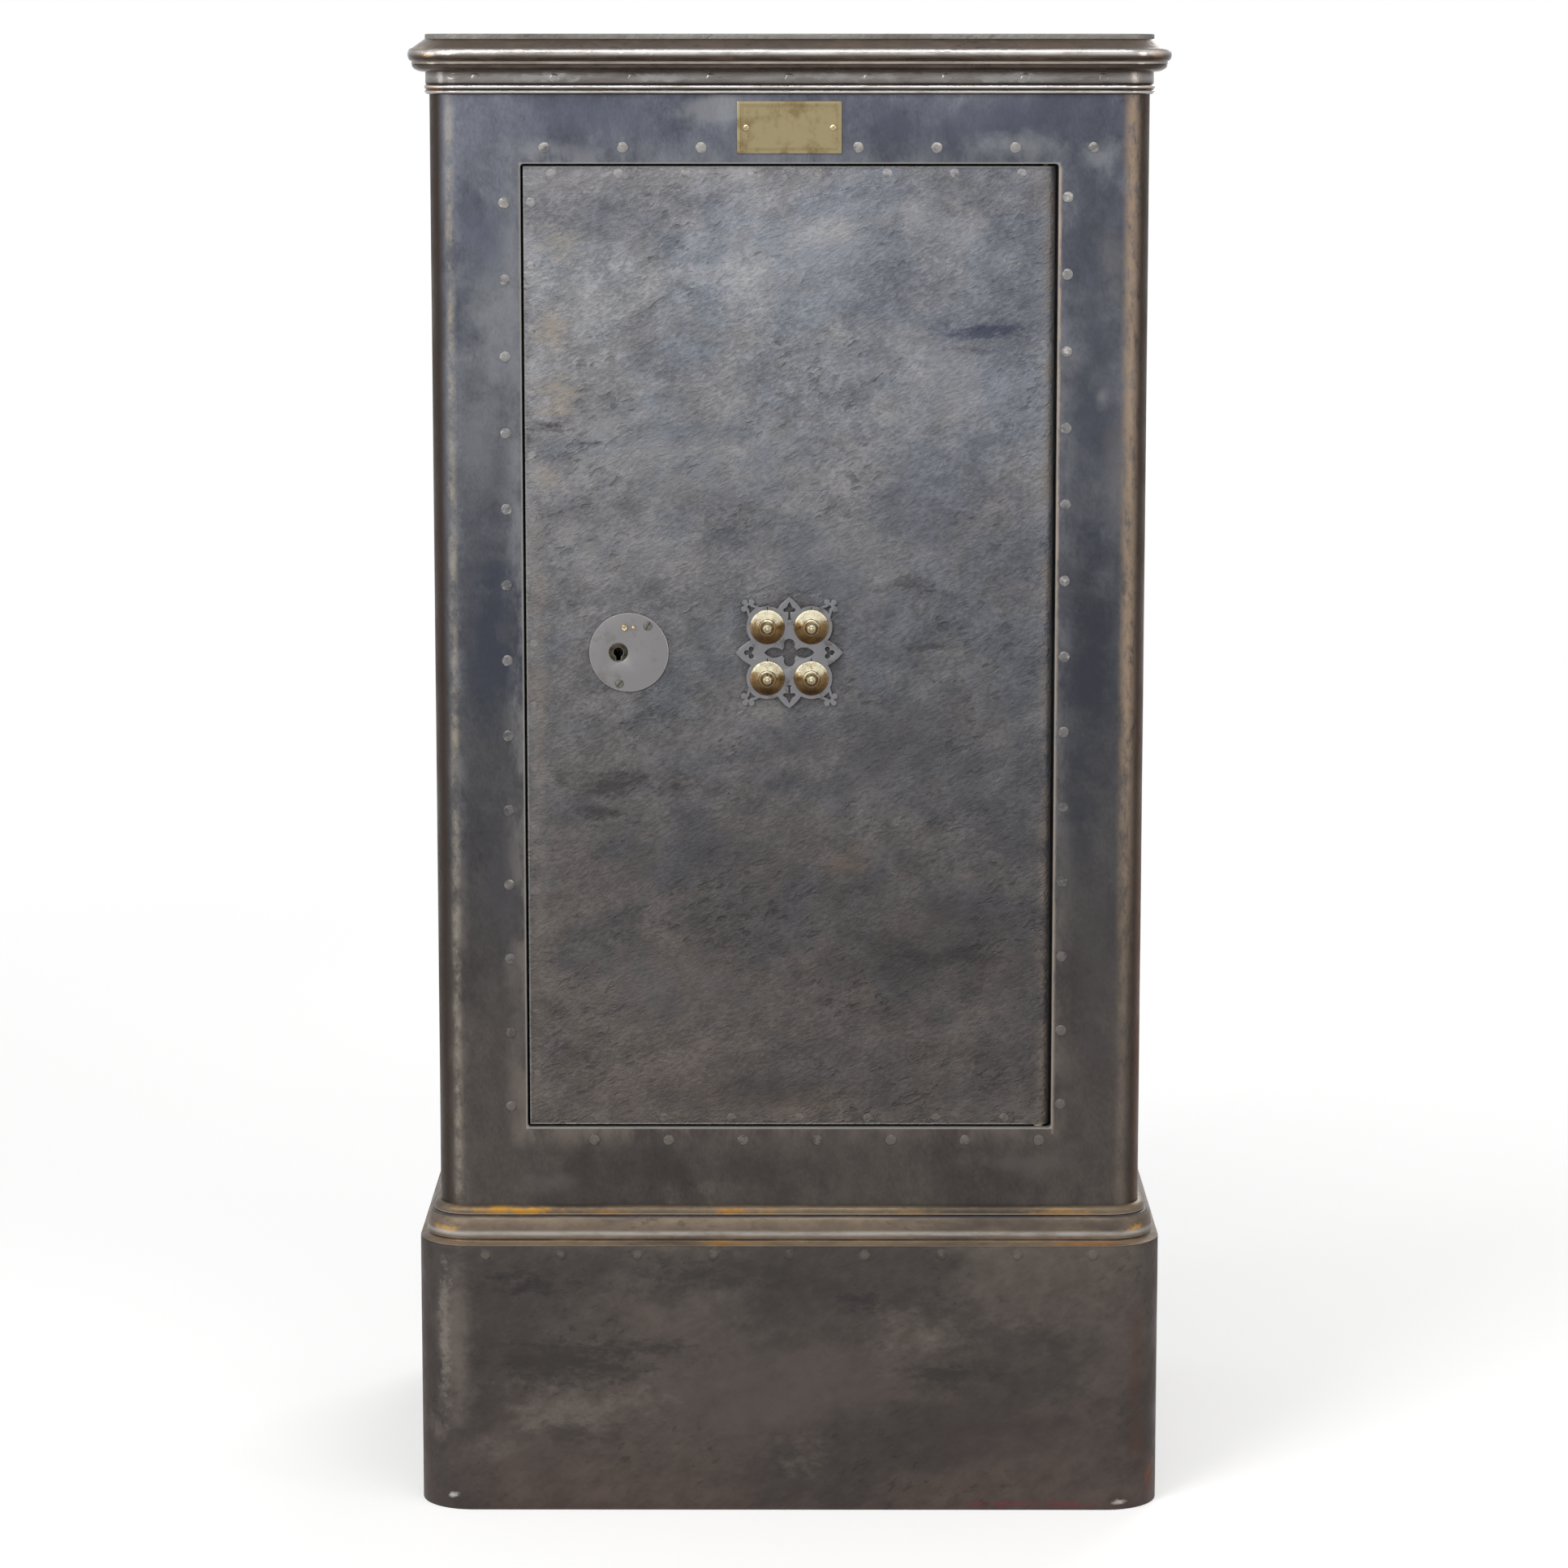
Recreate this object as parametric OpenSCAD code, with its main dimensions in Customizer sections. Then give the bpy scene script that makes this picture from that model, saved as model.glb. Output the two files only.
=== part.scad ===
// Antique cast iron safe on its own plinth, with a key lock and four dial knobs.
// Millimetres. X points right, Y away from the viewer and Z up.
// The origin is the middle of the bottom of the bounding box, on the floor.

/* [Body] */
// Width of the body over its side plates
body_w = 740; // [660:1:900]
// Depth of the body, from the face of its front to its flat back
body_d = 580; // [540:1:760]
// Height of the body's shell
body_h = 1223; // [1000:1:1500]
// Thickness of the front, side and back plates
wall_t = 8; // [5:0.5:12]
// Outside radius of the two front corners
body_r = 34; // [26:1:50]
// Thickness of the top plate
top_t = 8.5; // [5:0.5:14]
// How far the top plate stands out past the body
top_lip = 4; // [2:0.5:8]
// Thickness of the body's floor plate
floor_t = 8; // [5:0.5:12]

/* [Plinth] */
// Height of the plinth's plain box, up to its moulding
plinth_h = 287; // [200:1:400]
// How far the plinth stands out past the body
plinth_out = 22; // [20:1:30]
// Thickness of the plinth's plates
plinth_t = 6; // [4:0.5:10]
// Thickness of the deck that carries the body
deck_t = 10; // [6:0.5:14]
// Width of the ledge under the deck's edge
deck_ledge = 10; // [6:1:16]
// Height of the plinth's moulding
ledge_h = 30; // [26:1:40]

/* [Mouldings] */
// How far the cornice's nose stands out past the body
cornice_out = 22; // [20:1:30]
// How far the rounded nose of the plinth moulding stands out
ovolo_out = 15; // [12:0.5:18]
// How far the top of the plinth moulding and the foot bead stand out
foot_out = 7; // [5:0.5:9]
// Height of the foot bead
foot_bead_h = 9.5; // [7:0.5:14]
// How far the cornice's plain band stands out
band_out = 4; // [3:0.5:6]
// Height of the cornice's plain band
band_h = 12; // [10:0.5:20]
// Radius of the lower bead under the band
bead_low_r = 1.7; // [1.2:0.1:2.4]
// Radius of the upper bead under the band
bead_up_r = 2.2; // [1.5:0.1:3]
// Height of the cornice's cove
cove_h = 7.7; // [5:0.1:12]
// Height of the cornice's flat arris under its nose
arris_h = 3.4; // [2:0.2:6]
// Height of the cornice's nose
nose_h = 13; // [10:0.5:18]
// Height of the slope above the nose
slope_h = 9.5; // [6:0.5:14]

/* [Door opening] */
// Width of the frame at each side of the door
stile_w = 94.5; // [84:0.5:120]
// Height of the frame under the door
sill_h = 93; // [70:1:140]
// Height from the door's top edge to the top of the shell
head_h = 123; // [118:1:180]
// Corner radius of the opening
open_r = 3.5; // [2:0.5:6]
// Gap round the door plate
door_gap = 2.5; // [2:0.1:3.5]
// How far the door's face lies behind the frame's face
door_recess = 5; // [3:0.5:8]
// Thickness of the door's outer plate
door_t = 20; // [16:1:26]

/* [Jamb] */
// Width of the cast jamb outside the opening
jamb_w = 34.5; // [26:0.5:40]
// How far the jamb steps in behind the door plate
jamb_step = 18; // [16:0.5:24]
// Depth of the jamb behind the front plate
jamb_d = 106; // [100:1:140]
// Gap between the door plate and the jamb's step
rebate_gap = 2; // [1:0.5:4]
// Radius of the pivot pins at the hinge edge
pin_r = 4.5; // [3.5:0.1:5]
// Wall of the bushes round the pivot pins
bush_wall = 2.2; // [1.5:0.1:2.8]
// How deep each pivot pin stands in its bush
pin_in = 18; // [12:1:24]

/* [Inside] */
// Depth of the strong room behind the jamb
cavity_d = 390; // [330:1:400]
// Thickness of the inner lining
lining_t = 4; // [2:0.5:6]
// Thickness of a shelf
shelf_t = 4; // [2:0.5:6]
// Height of a shelf's turned-down front
shelf_lip = 18; // [10:1:30]
// Width of the angle strips under the shelves
batten_w = 20; // [14:1:30]
// Thickness of the angle strips
batten_t = 3; // [2:0.5:5]

/* [Door back] */
// Depth of the pan on the back of the door plate
pan_d = 38; // [30:1:42]
// Thickness of the pan's sides
pan_side_t = 4; // [2:0.5:6]
// Thickness of the pan's back, which carries the boltwork
pan_back_t = 6; // [4:0.5:8]
// Thickness of the fixed dogs at the hinge side
dog_t = 22; // [16:1:26]
// Height of a dog
dog_h = 60; // [40:1:90]
// How far the dogs reach into the jamb
dog_in = 12.5; // [8:0.5:13]
// Distance between the dogs
dog_pitch = 320; // [200:1:340]

/* [Boltwork] */
// Radius of a round bolt
bolt_r = 12; // [9:0.5:14]
// Distance between two bolts
bolt_pitch = 240; // [160:1:250]
// How far the bolts are thrown
throw = 28; // [22:0.5:30]
// Radius of the threaded tail of a bolt
tail_r = 8; // [5:0.5:8]
// Thickness of the guide bar that the bolts pass through
guide_t = 16; // [12:1:20]
// Thickness of the upright bar that joins the bolts
bar_t = 12; // [8:0.5:12]
// Depth of the upright bar
bar_d = 30; // [26:1:34]
// Thickness of the rack bar
rack_t = 8; // [6:0.5:10]
// Height of the rack bar above its tooth roots
rack_h = 14; // [10:1:20]
// Radial clearance of the turning and sliding fits
fit = 0.08; // [0.04:0.01:0.1]

/* [Key lock] */
// Distance of the keyhole from the edge of the opening
key_inset = 97.9; // [95.5:0.1:105.5]
// Radius of the key barrel
barrel_r = 10; // [9:0.1:10.5]
// Radius of the key's bore
key_r = 5.25; // [4:0.05:6]
// Width of the slot for the key's bit
slot_w = 5; // [3:0.1:6]
// How far the slot reaches from the barrel's axis
slot_out = 8.8; // [7.5:0.1:8.9]
// Depth of the key's bore
key_d = 45; // [30:1:50]
// Tooth module of the rack and pinion
tooth_m = 2; // [1.9:0.05:2.1]
// Number of teeth on the pinion
teeth = 14; // [14:1:15]
// Radius of the steel disc round the keyhole
disc_r = 41.35; // [34:0.05:45]
// Thickness of the disc
disc_t = 1.5; // [1:0.1:3]
// Distance of the disc's middle from the keyhole
disc_off = 10.9; // [6:0.1:14]

/* [Dial knobs] */
// Distance between knobs, side to side
knob_dx = 45.7; // [44:0.1:48]
// Distance between knobs, up and down
knob_dz = 53.6; // [50:0.1:56]
// Radius of a knob's skirt
knob_r = 18; // [15:0.1:19]
// Radius of a knob's spindle
spindle_r = 4; // [3:0.1:5]
// Radius of the notched wheel on a spindle
wheel_r = 20; // [15:0.1:21]
// Thickness of a notched wheel
wheel_t = 6; // [4:0.5:7]
// Width of the notch in a wheel
notch_w = 6; // [4:0.5:8]
// Thickness of the pierced plate behind the knobs
esc_t = 3; // [2:0.1:3.5]
// Radius of the plate's round lobes
lobe_r = 21.6; // [20.5:0.1:22.5]
// Running gap between a knob and the pierced plate
knob_gap = 0.3; // [0.2:0.05:0.6]

/* [Plate and rivets] */
// Width of the bare brass plate
plate_w = 107; // [80:1:140]
// Height of the brass plate
plate_h = 53; // [36:1:53]
// Thickness of the brass plate
plate_t = 1.5; // [1:0.1:2.5]
// Distance of the plate's middle below the cornice
plate_drop = 33.5; // [32:0.5:36]
// Radius of a rivet's head
rivet_r = 6; // [4:0.5:7]
// Height of a rivet's head
rivet_h = 1.2; // [0.8:0.1:2]
// Distance between rivets along the mouldings and the plinth
rivet_pitch = 80; // [60:1:82]
// Distance of the plinth's rivets below its moulding
plinth_rivet_drop = 9; // [8:1:20]

/* [Hidden] */
$fn = 64;

// A cut runs this far past the face that it opens
cut = 1;
// Steps in a moulding's quarter round
arc_steps = 8;
// Facets of the large circle that a low dome is cut from
dome_fn = 360;

// Colours
iron = "#55565c";
door_iron = "#6d6e72";
moulding_iron = "#6b6560";
plinth_iron = "#4d4845";
steel = "#9a9a98";
bright = "#b9bbbe";
brass = "#b08d4e";
paint = "#4f5a52";
filler = "#c9c2b2";

// Outer planes. The plinth's rivets stand out furthest at the front.
front_out = max(plinth_out + rivet_h, cornice_out);
back_y = (body_d + front_out) / 2;
front_y = back_y - body_d;
foot_z = plinth_h + ledge_h;
shell_top = foot_z + body_h;

// The moulding under the top plate: its levels from the bottom up
bead_gap = 0.9;
cornice_h = 2 * bead_low_r + 2 * bead_up_r + 3 * bead_gap + band_h + cove_h + arris_h + nose_h + slope_h;
top_rebate = 3.5;
cornice_z = shell_top + top_rebate - cornice_h;
band_z = cornice_z + 2 * bead_low_r + 2 * bead_up_r + 3 * bead_gap;
cove_z = band_z + band_h;
arris_z = cove_z + cove_h;
nose_z = arris_z + arris_h;
slope_z = nose_z + nose_h;
arris_in = 4;

// Door opening and the door in it
open_w = body_w - 2 * stile_w;
key_x = key_inset - open_w / 2;
sill_z = foot_z + sill_h;
head_z = shell_top - head_h;
open_h = head_z - sill_z;
mid_z = (sill_z + head_z) / 2;
door_front = front_y + door_recess;
door_back = door_front + door_t;
heel_r = door_t / 2;
pivot_x = open_w / 2 - door_gap - heel_r;
pivot_y = door_front + heel_r;
collar_gap = 0.3;

// Jamb and strong room
jamb_front = front_y + wall_t;
jamb_back = jamb_front + jamb_d;
rebate_y = door_back + rebate_gap;
room_w = open_w - 2 * jamb_step;
room_z = sill_z + jamb_step;
room_h = open_h - 2 * jamb_step;
room_back = jamb_back + cavity_d;
shelf_set_back = 12;
shelf_gap = 3;
shelf_count = 2;
shelf_front = jamb_back + shelf_set_back;
shelf_len = room_back - shelf_gap - shelf_front;

// Pan on the door's back. Its free side stands off so that it swings clear of the jamb.
pan_gap_free = 7.5;
pan_gap_hinge = 5;
pan_gap_end = 3;
pan_x0 = -room_w / 2 + pan_gap_free;
pan_x1 = room_w / 2 - pan_gap_hinge;
pan_z = room_z + pan_gap_end;
pan_h = room_h - 2 * pan_gap_end;
pan_back = door_back + pan_d;
core_clear = 2;

// Dogs on the hinge side, and the room for them and for the bolts in the jamb's channels
dog_len = 55;
channel_gap = 2.5;
dog_x1 = room_w / 2 + dog_in;
dog_count = 3;

// Boltwork, in layers behind the pan
works_gap = 2;
works_y = pan_back + works_gap;
carriage_y = works_y + rack_t;
bolt_y = carriage_y + bar_d / 2 + 1;
bolt_count = 4;
guide_inset = 5;
guide_x = pan_x0 + guide_inset;
guide_edge = 6;
tip_x = guide_x - 1;
stop_gap = 2;
bar_x = guide_x + guide_t + throw + stop_gap;
bar_end = 24;
nut_t = 7;
nut_af = 24;
strike_over = 3;
strike_d = throw - (room_w / 2 + tip_x) + strike_over;

// Rack and pinion, both with 20 degree teeth
pressure = 20;
pitch_r = tooth_m * teeth / 2;
tooth_pitch = PI * tooth_m;
backlash = 0.3;
rack_addendum = 0.8 * tooth_m;
dedendum = 1.25 * tooth_m;
pinion_gap = 1;
pinion_t = rack_t - pinion_gap;
pitch_z = mid_z + pitch_r;
rack_root_z = pitch_z + dedendum;
rack_top_z = rack_root_z + rack_h;
rack_teeth_left = 2;
rack_teeth_right = ceil(throw / tooth_pitch) + 2;
flank_steps = 4;

// Dial wheels and the fence that stands by them
wheel_x0 = -knob_dx / 2 - wheel_r;
fence_gap = 7;
fence_t = 6;
fence_x = wheel_x0 - fence_gap - fence_t;
fence_over = 12;
keeper_wall = 6;
keeper_gap = 0.3;
// The keeper stands between the rack's last tooth and the fence when that is thrown
keeper_clear = 1;
teeth_end = key_x + (rack_teeth_right + 0.5) * tooth_pitch;
fence_thrown = fence_x - throw;
keeper_w = min(16, fence_thrown - teeth_end - 2 * keeper_clear);
keeper_x = (teeth_end + fence_thrown) / 2;

// Lock disc
disc_x = key_x + disc_off;
barrel_front = door_front - disc_t + 1;
barrel_end = works_y + pinion_t;
disc_hole_r = barrel_r + 0.15;

// Maker's plate
plate_z = cornice_z - plate_drop;

// Levels of the rivet rows, from the middle line of each band
cornice_rivet_z = band_z + band_h / 2;
band_rivet_h = 0.8;
plinth_rivet_z = plinth_h - plinth_rivet_drop;
// As many rivets as fit between the round corners, one of them in the middle
row_count = 2 * floor((body_w / 2 - body_r - rivet_r) / rivet_pitch) + 1;

// Rows of rivets on the frame: how far each lies outside the opening, how far its first and
// last rivet lie inside the opening's ends, and how many rivets it has
top_row_out = 16.5;
top_row_first = 24.5;
top_row_last = -35.6;
top_row_count = 8;
bottom_row_out = 13.5;
bottom_row_first = 70.5;
bottom_row_last = 12.5;
bottom_row_count = 7;
left_row_out = 17;
left_row_first = 39.5;
left_row_last = 23.1;
right_row_out = 9.5;
right_row_first = 33.5;
right_row_last = 25.5;
side_row_count = 13;
head_sides = 12;

// Points of an elliptical quarter from [u, z] to [u + a, z + b], which bulges down
function quarter_down(u, z, a, b) =
    [for (i = [0:arc_steps]) [u + a * sin(90 * i / arc_steps), z + b * (1 - cos(90 * i / arc_steps))]];

// Outline of the body seen from above, grown by u, with round front corners, up to y_end
module plan(u, y_end) {
    half = body_w / 2;
    corner_y = front_y + body_r;
    translate([-half - u, corner_y]) square([body_w + 2 * u, y_end - corner_y]);
    translate([-half + body_r, front_y - u]) square([body_w - 2 * body_r, body_r + u]);
    for (side = [-1, 1]) translate([side * (half - body_r), corner_y]) circle(body_r + u);
}

// A moulding along the left side, the front and the right side of the body. Its section
// has x outward from the body's face and y upward.
module sweep_round() {
    half = body_w / 2;
    corner_y = front_y + body_r;
    run = back_y - corner_y;
    translate([half - body_r, front_y, 0]) rotate([90, 0, -90])
        linear_extrude(body_w - 2 * body_r) children();
    translate([half, back_y, 0]) rotate([90, 0, 0]) linear_extrude(run) children();
    translate([-half, corner_y, 0]) rotate([90, 0, 180]) linear_extrude(run) children();
    translate([half - body_r, corner_y, 0]) rotate([0, 0, -90]) corner_turn() children();
    translate([-half + body_r, corner_y, 0]) rotate([0, 0, 180]) corner_turn() children();
}

module corner_turn() {
    rotate_extrude(angle = 90) translate([body_r, 0]) children();
}

// A flat shape in X and Z, from y to y + len
module along_y(x, y, z, len) {
    translate([x, y + len, z]) rotate([90, 0, 0]) linear_extrude(len) children();
}

// A turned shape about Y, whose section has x as its radius and y toward the viewer
module about_y(x, y, z) {
    translate([x, y, z]) rotate([90, 0, 0]) rotate_extrude() children();
}

module rod_y(x, y, z, r, len) {
    translate([x, y + len, z]) rotate([90, 0, 0]) cylinder(r = r, h = len);
}

module rod_x(x, y, z, r, len) {
    translate([x, y, z]) rotate([0, 90, 0]) cylinder(r = r, h = len);
}

module rod_z(x, y, z, r, len) {
    translate([x, y, z]) cylinder(r = r, h = len);
}

module block(x0, x1, y0, y1, z0, z1) {
    translate([x0, y0, z0]) cube([x1 - x0, y1 - y0, z1 - z0]);
}

// A rectangle with round corners, w wide and h high, about its middle
module round_rect(w, h, r) {
    square([w - 2 * r, h], center = true);
    square([w, h - 2 * r], center = true);
    for (sx = [-1, 1], sz = [-1, 1]) translate([sx * (w / 2 - r), sz * (h / 2 - r)]) circle(r);
}

// Pointed oval, half_w wide each way and half_h high each way
module vesica(half_w, half_h) {
    r = (half_h * half_h + half_w * half_w) / (2 * half_w);
    intersection() {
        translate([r - half_w, 0]) circle(r);
        translate([half_w - r, 0]) circle(r);
    }
}

// Low domed head that rises toward the viewer from the face at y. Its root goes into the
// plate by as much as is said.
module rivet_head(x, y, z, r, h, root = 0) {
    ball_r = (r * r + h * h) / (2 * h);
    about_y(x, y, z) intersection() {
        translate([0, h - ball_r]) circle(ball_r, $fn = dome_fn);
        translate([0, -root]) square([r, h + root]);
    }
}

// The hole that the door closes, from y to y + len
module opening(y, len) {
    along_y(0, y, mid_z, len) round_rect(open_w, open_h, open_r);
}

// Pivot pins, bushes and their holes stand at these levels
module at_pivots() {
    translate([pivot_x, pivot_y, head_z]) children();
    translate([pivot_x, pivot_y, sill_z]) mirror([0, 0, 1]) children();
}

module pivot_seats() {
    at_pivots() translate([0, 0, -cut]) cylinder(r = pin_r + fit + bush_wall, h = pin_in + cut);
}

function bolt_z(i) = mid_z + (i - (bolt_count - 1) / 2) * bolt_pitch;
function dog_z(i) = mid_z + (i - (dog_count - 1) / 2) * dog_pitch;
function shelf_z(i) = room_z + room_h * i / (shelf_count + 1);

// Body

module body_shell() {
    color(iron) difference() {
        translate([0, 0, foot_z]) linear_extrude(body_h) difference() {
            plan(0, back_y - wall_t);
            plan(-wall_t, back_y);
        }
        opening(front_y - cut, wall_t + 2 * cut);
        pivot_seats();
    }
}

module back_plate() {
    color(iron) block(-body_w / 2, body_w / 2, back_y - wall_t, back_y, foot_z, shell_top);
}

module body_floor() {
    color(iron) translate([0, 0, foot_z]) linear_extrude(floor_t) plan(-wall_t, back_y - wall_t);
}

module top_plate() {
    color(iron) translate([0, 0, shell_top]) linear_extrude(top_t) plan(top_lip, back_y);
}

module cornice() {
    bead_in = band_out - 1;
    low_z = cornice_z + bead_gap + bead_low_r;
    up_z = low_z + bead_low_r + bead_gap + bead_up_r;
    arris_out = cornice_out - arris_in;
    color(moulding_iron) {
        sweep_round() difference() {
            union() {
                translate([0, cornice_z]) square([bead_in, band_z - cornice_z]);
                translate([bead_in, low_z]) circle(bead_low_r);
                translate([bead_in, up_z]) circle(bead_up_r);
                polygon(concat(
                    [[0, band_z], [band_out, band_z]],
                    quarter_down(band_out, cove_z, arris_out - band_out, cove_h),
                    [[arris_out, nose_z]],
                    nose_points(arris_out, nose_z),
                    [[top_lip, slope_z + slope_h], [0, slope_z + slope_h]]
                ));
            }
            translate([-cut, shell_top]) square([top_lip + cut, top_rebate + cut]);
        }
        rivet_row(front_y - band_out, cornice_rivet_z, min(rivet_r - 1, band_h / 2), band_rivet_h);
    }
}

// Half round of the cornice's nose, from its lower edge to the foot of the slope
function nose_points(u, z) =
    [for (i = [0:2 * arc_steps]) [
        u + arris_in * sin(90 * i / arc_steps),
        z + nose_h / 2 * (1 - cos(90 * i / arc_steps))
    ]];

module foot_bead() {
    arris = 3.5;
    color(moulding_iron) sweep_round() translate([0, foot_z]) polygon(concat(
        [[0, 0], [foot_out - 1, 0], [foot_out, 1], [foot_out, arris]],
        [for (i = [1:arc_steps]) [
            foot_out * cos(90 * i / arc_steps),
            arris + (foot_bead_h - arris) * sin(90 * i / arc_steps)
        ]]
    ));
}

// Plinth

module plinth_box() {
    color(plinth_iron) {
        linear_extrude(plinth_h) difference() {
            plan(plinth_out, back_y - plinth_t);
            plan(plinth_out - plinth_t, back_y);
        }
        rivet_row(front_y - plinth_out, plinth_rivet_z, rivet_r, rivet_h);
    }
}

// The back closes the box and, between the ends of the moulding, reaches up to the deck
module plinth_back() {
    half = body_w / 2 + plinth_out;
    inner = body_w / 2 - deck_ledge;
    color(plinth_iron) {
        block(-half, half, back_y - plinth_t, back_y, 0, plinth_h);
        block(-inner, inner, back_y - plinth_t, back_y, plinth_h, foot_z - deck_t);
    }
}

module plinth_moulding() {
    slope = 3.5;
    quirk = 2.5;
    edge = 3.5;
    ovolo_z = slope + quirk + edge;
    color(moulding_iron) sweep_round() translate([0, plinth_h]) polygon(concat(
        [[-deck_ledge, 0], [plinth_out, 0], [ovolo_out - 1, slope], [ovolo_out - 1, slope + quirk],
         [ovolo_out, slope + quirk], [ovolo_out, ovolo_z]],
        [for (i = [1:arc_steps]) [
            foot_out + (ovolo_out - foot_out) * cos(90 * i / arc_steps),
            ovolo_z + (ledge_h - ovolo_z) * sin(90 * i / arc_steps)
        ]],
        [[0, ledge_h], [0, ledge_h - deck_t], [-deck_ledge, ledge_h - deck_t]]
    ));
}

module plinth_deck() {
    color(plinth_iron) translate([0, 0, foot_z - deck_t]) linear_extrude(deck_t) plan(0, back_y);
}

// Jamb, lining and what is in them

// The side bars run the full height. Each has a step behind the door plate's edge and a
// channel in its inner face, which takes the bolts on one side and the dogs on the other.
module jamb_side(side, channel_x, y0, y1) {
    half = open_w / 2 + jamb_w;
    mirror([side < 0 ? 1 : 0, 0, 0]) difference() {
        block(room_w / 2, half, jamb_front, jamb_back, sill_z - jamb_w, head_z + jamb_w);
        block(room_w / 2 - cut, open_w / 2, jamb_front - cut, rebate_y, sill_z, head_z);
        block(room_w / 2 - cut, channel_x, y0, y1, room_z, room_z + room_h);
    }
}

module jamb_lock_side() {
    color(iron) jamb_side(
        -1, room_w / 2 + strike_d,
        bolt_y - bolt_r - channel_gap, bolt_y + bolt_r + channel_gap
    );
}

module jamb_hinge_side() {
    color(iron) difference() {
        jamb_side(1, dog_x1 + channel_gap, pan_back - channel_gap, pan_back + dog_t + channel_gap);
        pivot_seats();
    }
}

// The head bar between the side bars; the sill bar is the same one upside down
module jamb_cross() {
    block(-room_w / 2, room_w / 2, jamb_front, rebate_y, open_h / 2, open_h / 2 + jamb_w);
    block(-room_w / 2, room_w / 2, rebate_y, jamb_back, room_h / 2, open_h / 2 + jamb_w);
}

module jamb_head() {
    color(iron) difference() {
        translate([0, 0, mid_z]) jamb_cross();
        pivot_seats();
    }
}

module jamb_sill() {
    color(iron) difference() {
        translate([0, 0, mid_z]) mirror([0, 0, 1]) jamb_cross();
        pivot_seats();
    }
}

module pivot_bushes() {
    outer = pin_r + fit + bush_wall;
    color(brass) at_pivots() difference() {
        cylinder(r = outer, h = pin_in);
        translate([0, 0, -cut]) cylinder(r = pin_r + fit, h = pin_in + 2 * cut);
    }
    // The collar under the door carries its weight
    color(brass) difference() {
        rod_z(pivot_x, pivot_y, sill_z, outer, door_gap - collar_gap);
        rod_z(pivot_x, pivot_y, sill_z - cut, pin_r + fit, door_gap + 2 * cut);
    }
}

module inner_lining() {
    half = room_w / 2 + lining_t;
    color(paint) difference() {
        block(-half, half, jamb_back, room_back + lining_t, room_z - lining_t, room_z + room_h + lining_t);
        block(-room_w / 2, room_w / 2, jamb_back - cut, room_back, room_z, room_z + room_h);
    }
}

module fire_filling() {
    jamb_half = open_w / 2 + jamb_w;
    room_half = room_w / 2 + lining_t;
    color(filler) difference() {
        translate([0, 0, foot_z + floor_t]) linear_extrude(body_h - floor_t) plan(-wall_t, back_y - wall_t);
        block(-jamb_half, jamb_half, jamb_front - cut, jamb_back, sill_z - jamb_w, head_z + jamb_w);
        block(
            -room_half, room_half, jamb_back - cut, room_back + lining_t,
            room_z - lining_t, room_z + room_h + lining_t
        );
    }
}

module shelf(i) {
    half = room_w / 2 - shelf_gap;
    z = shelf_z(i);
    color(paint) {
        block(-half, half, shelf_front, shelf_front + shelf_len, z, z + shelf_t);
        block(-half, half, shelf_front, shelf_front + shelf_t, z - shelf_lip, z + shelf_t);
    }
}

module shelf_upper() {
    shelf(2);
}

module shelf_lower() {
    shelf(1);
}

// Angle strips on the lining, one under each end of each shelf, behind its front
module shelf_battens() {
    y0 = shelf_front + shelf_t + shelf_gap;
    color(paint) for (i = [1:shelf_count], side = [0, 1]) mirror([side, 0, 0]) {
        block(
            room_w / 2 - batten_t, room_w / 2, y0, room_back - shelf_gap,
            shelf_z(i) - batten_w, shelf_z(i)
        );
        block(
            room_w / 2 - batten_w, room_w / 2, y0, room_back - shelf_gap,
            shelf_z(i) - batten_t, shelf_z(i)
        );
    }
}

// Plate and rivets on the front

module maker_plate() {
    color(brass) along_y(0, front_y - plate_t, plate_z, plate_t) round_rect(plate_w, plate_h, 1.5);
}

module plate_screws() {
    inset = 9;
    head_r = 4;
    head_h = 2;
    color(brass) for (side = [-1, 1])
        rivet_head(side * (plate_w / 2 - inset), front_y - plate_t, plate_z, head_r, head_h);
}

// Distance of rivet i from the end of a row along an edge of that length
function in_row(edge, first, last, count, i) = first + i * (edge - first - last) / (count - 1);

// Flattened head on the frame's face, in two low steps with flat sides
module frame_head(x, z) {
    step = rivet_h / 2;
    along_y(x, front_y - step, z, step) circle(rivet_r, $fn = head_sides);
    along_y(x, front_y - rivet_h, z, step) circle(rivet_r - rivet_h, $fn = head_sides);
}

// Row of heads up and down the frame, x outside the opening on its own side
module side_row(x, first, last) {
    for (i = [0:side_row_count - 1])
        frame_head(x, head_z - in_row(open_h, first, last, side_row_count, i));
}

// Row of heads across the frame. The brass plate covers one of them.
module cross_row(z, first, last, count) {
    for (i = [0:count - 1]) {
        x = in_row(open_w, first, last, count, i) - open_w / 2;
        covered = abs(x) < plate_w / 2 + rivet_r && abs(z - plate_z) < plate_h / 2 + rivet_r;
        if (!covered) frame_head(x, z);
    }
}

module frame_rivets() {
    color(iron) {
        cross_row(head_z + top_row_out, top_row_first, top_row_last, top_row_count);
        cross_row(sill_z - bottom_row_out, bottom_row_first, bottom_row_last, bottom_row_count);
        side_row(-open_w / 2 - left_row_out, left_row_first, left_row_last);
        side_row(open_w / 2 + right_row_out, right_row_first, right_row_last);
    }
}

// Rivets along a moulding or the plinth, about the middle
module rivet_row(y, z, r, h) {
    for (i = [0:row_count - 1])
        rivet_head((i - (row_count - 1) / 2) * rivet_pitch, y, z, r, h, band_out / 2);
}

// Door

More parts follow.
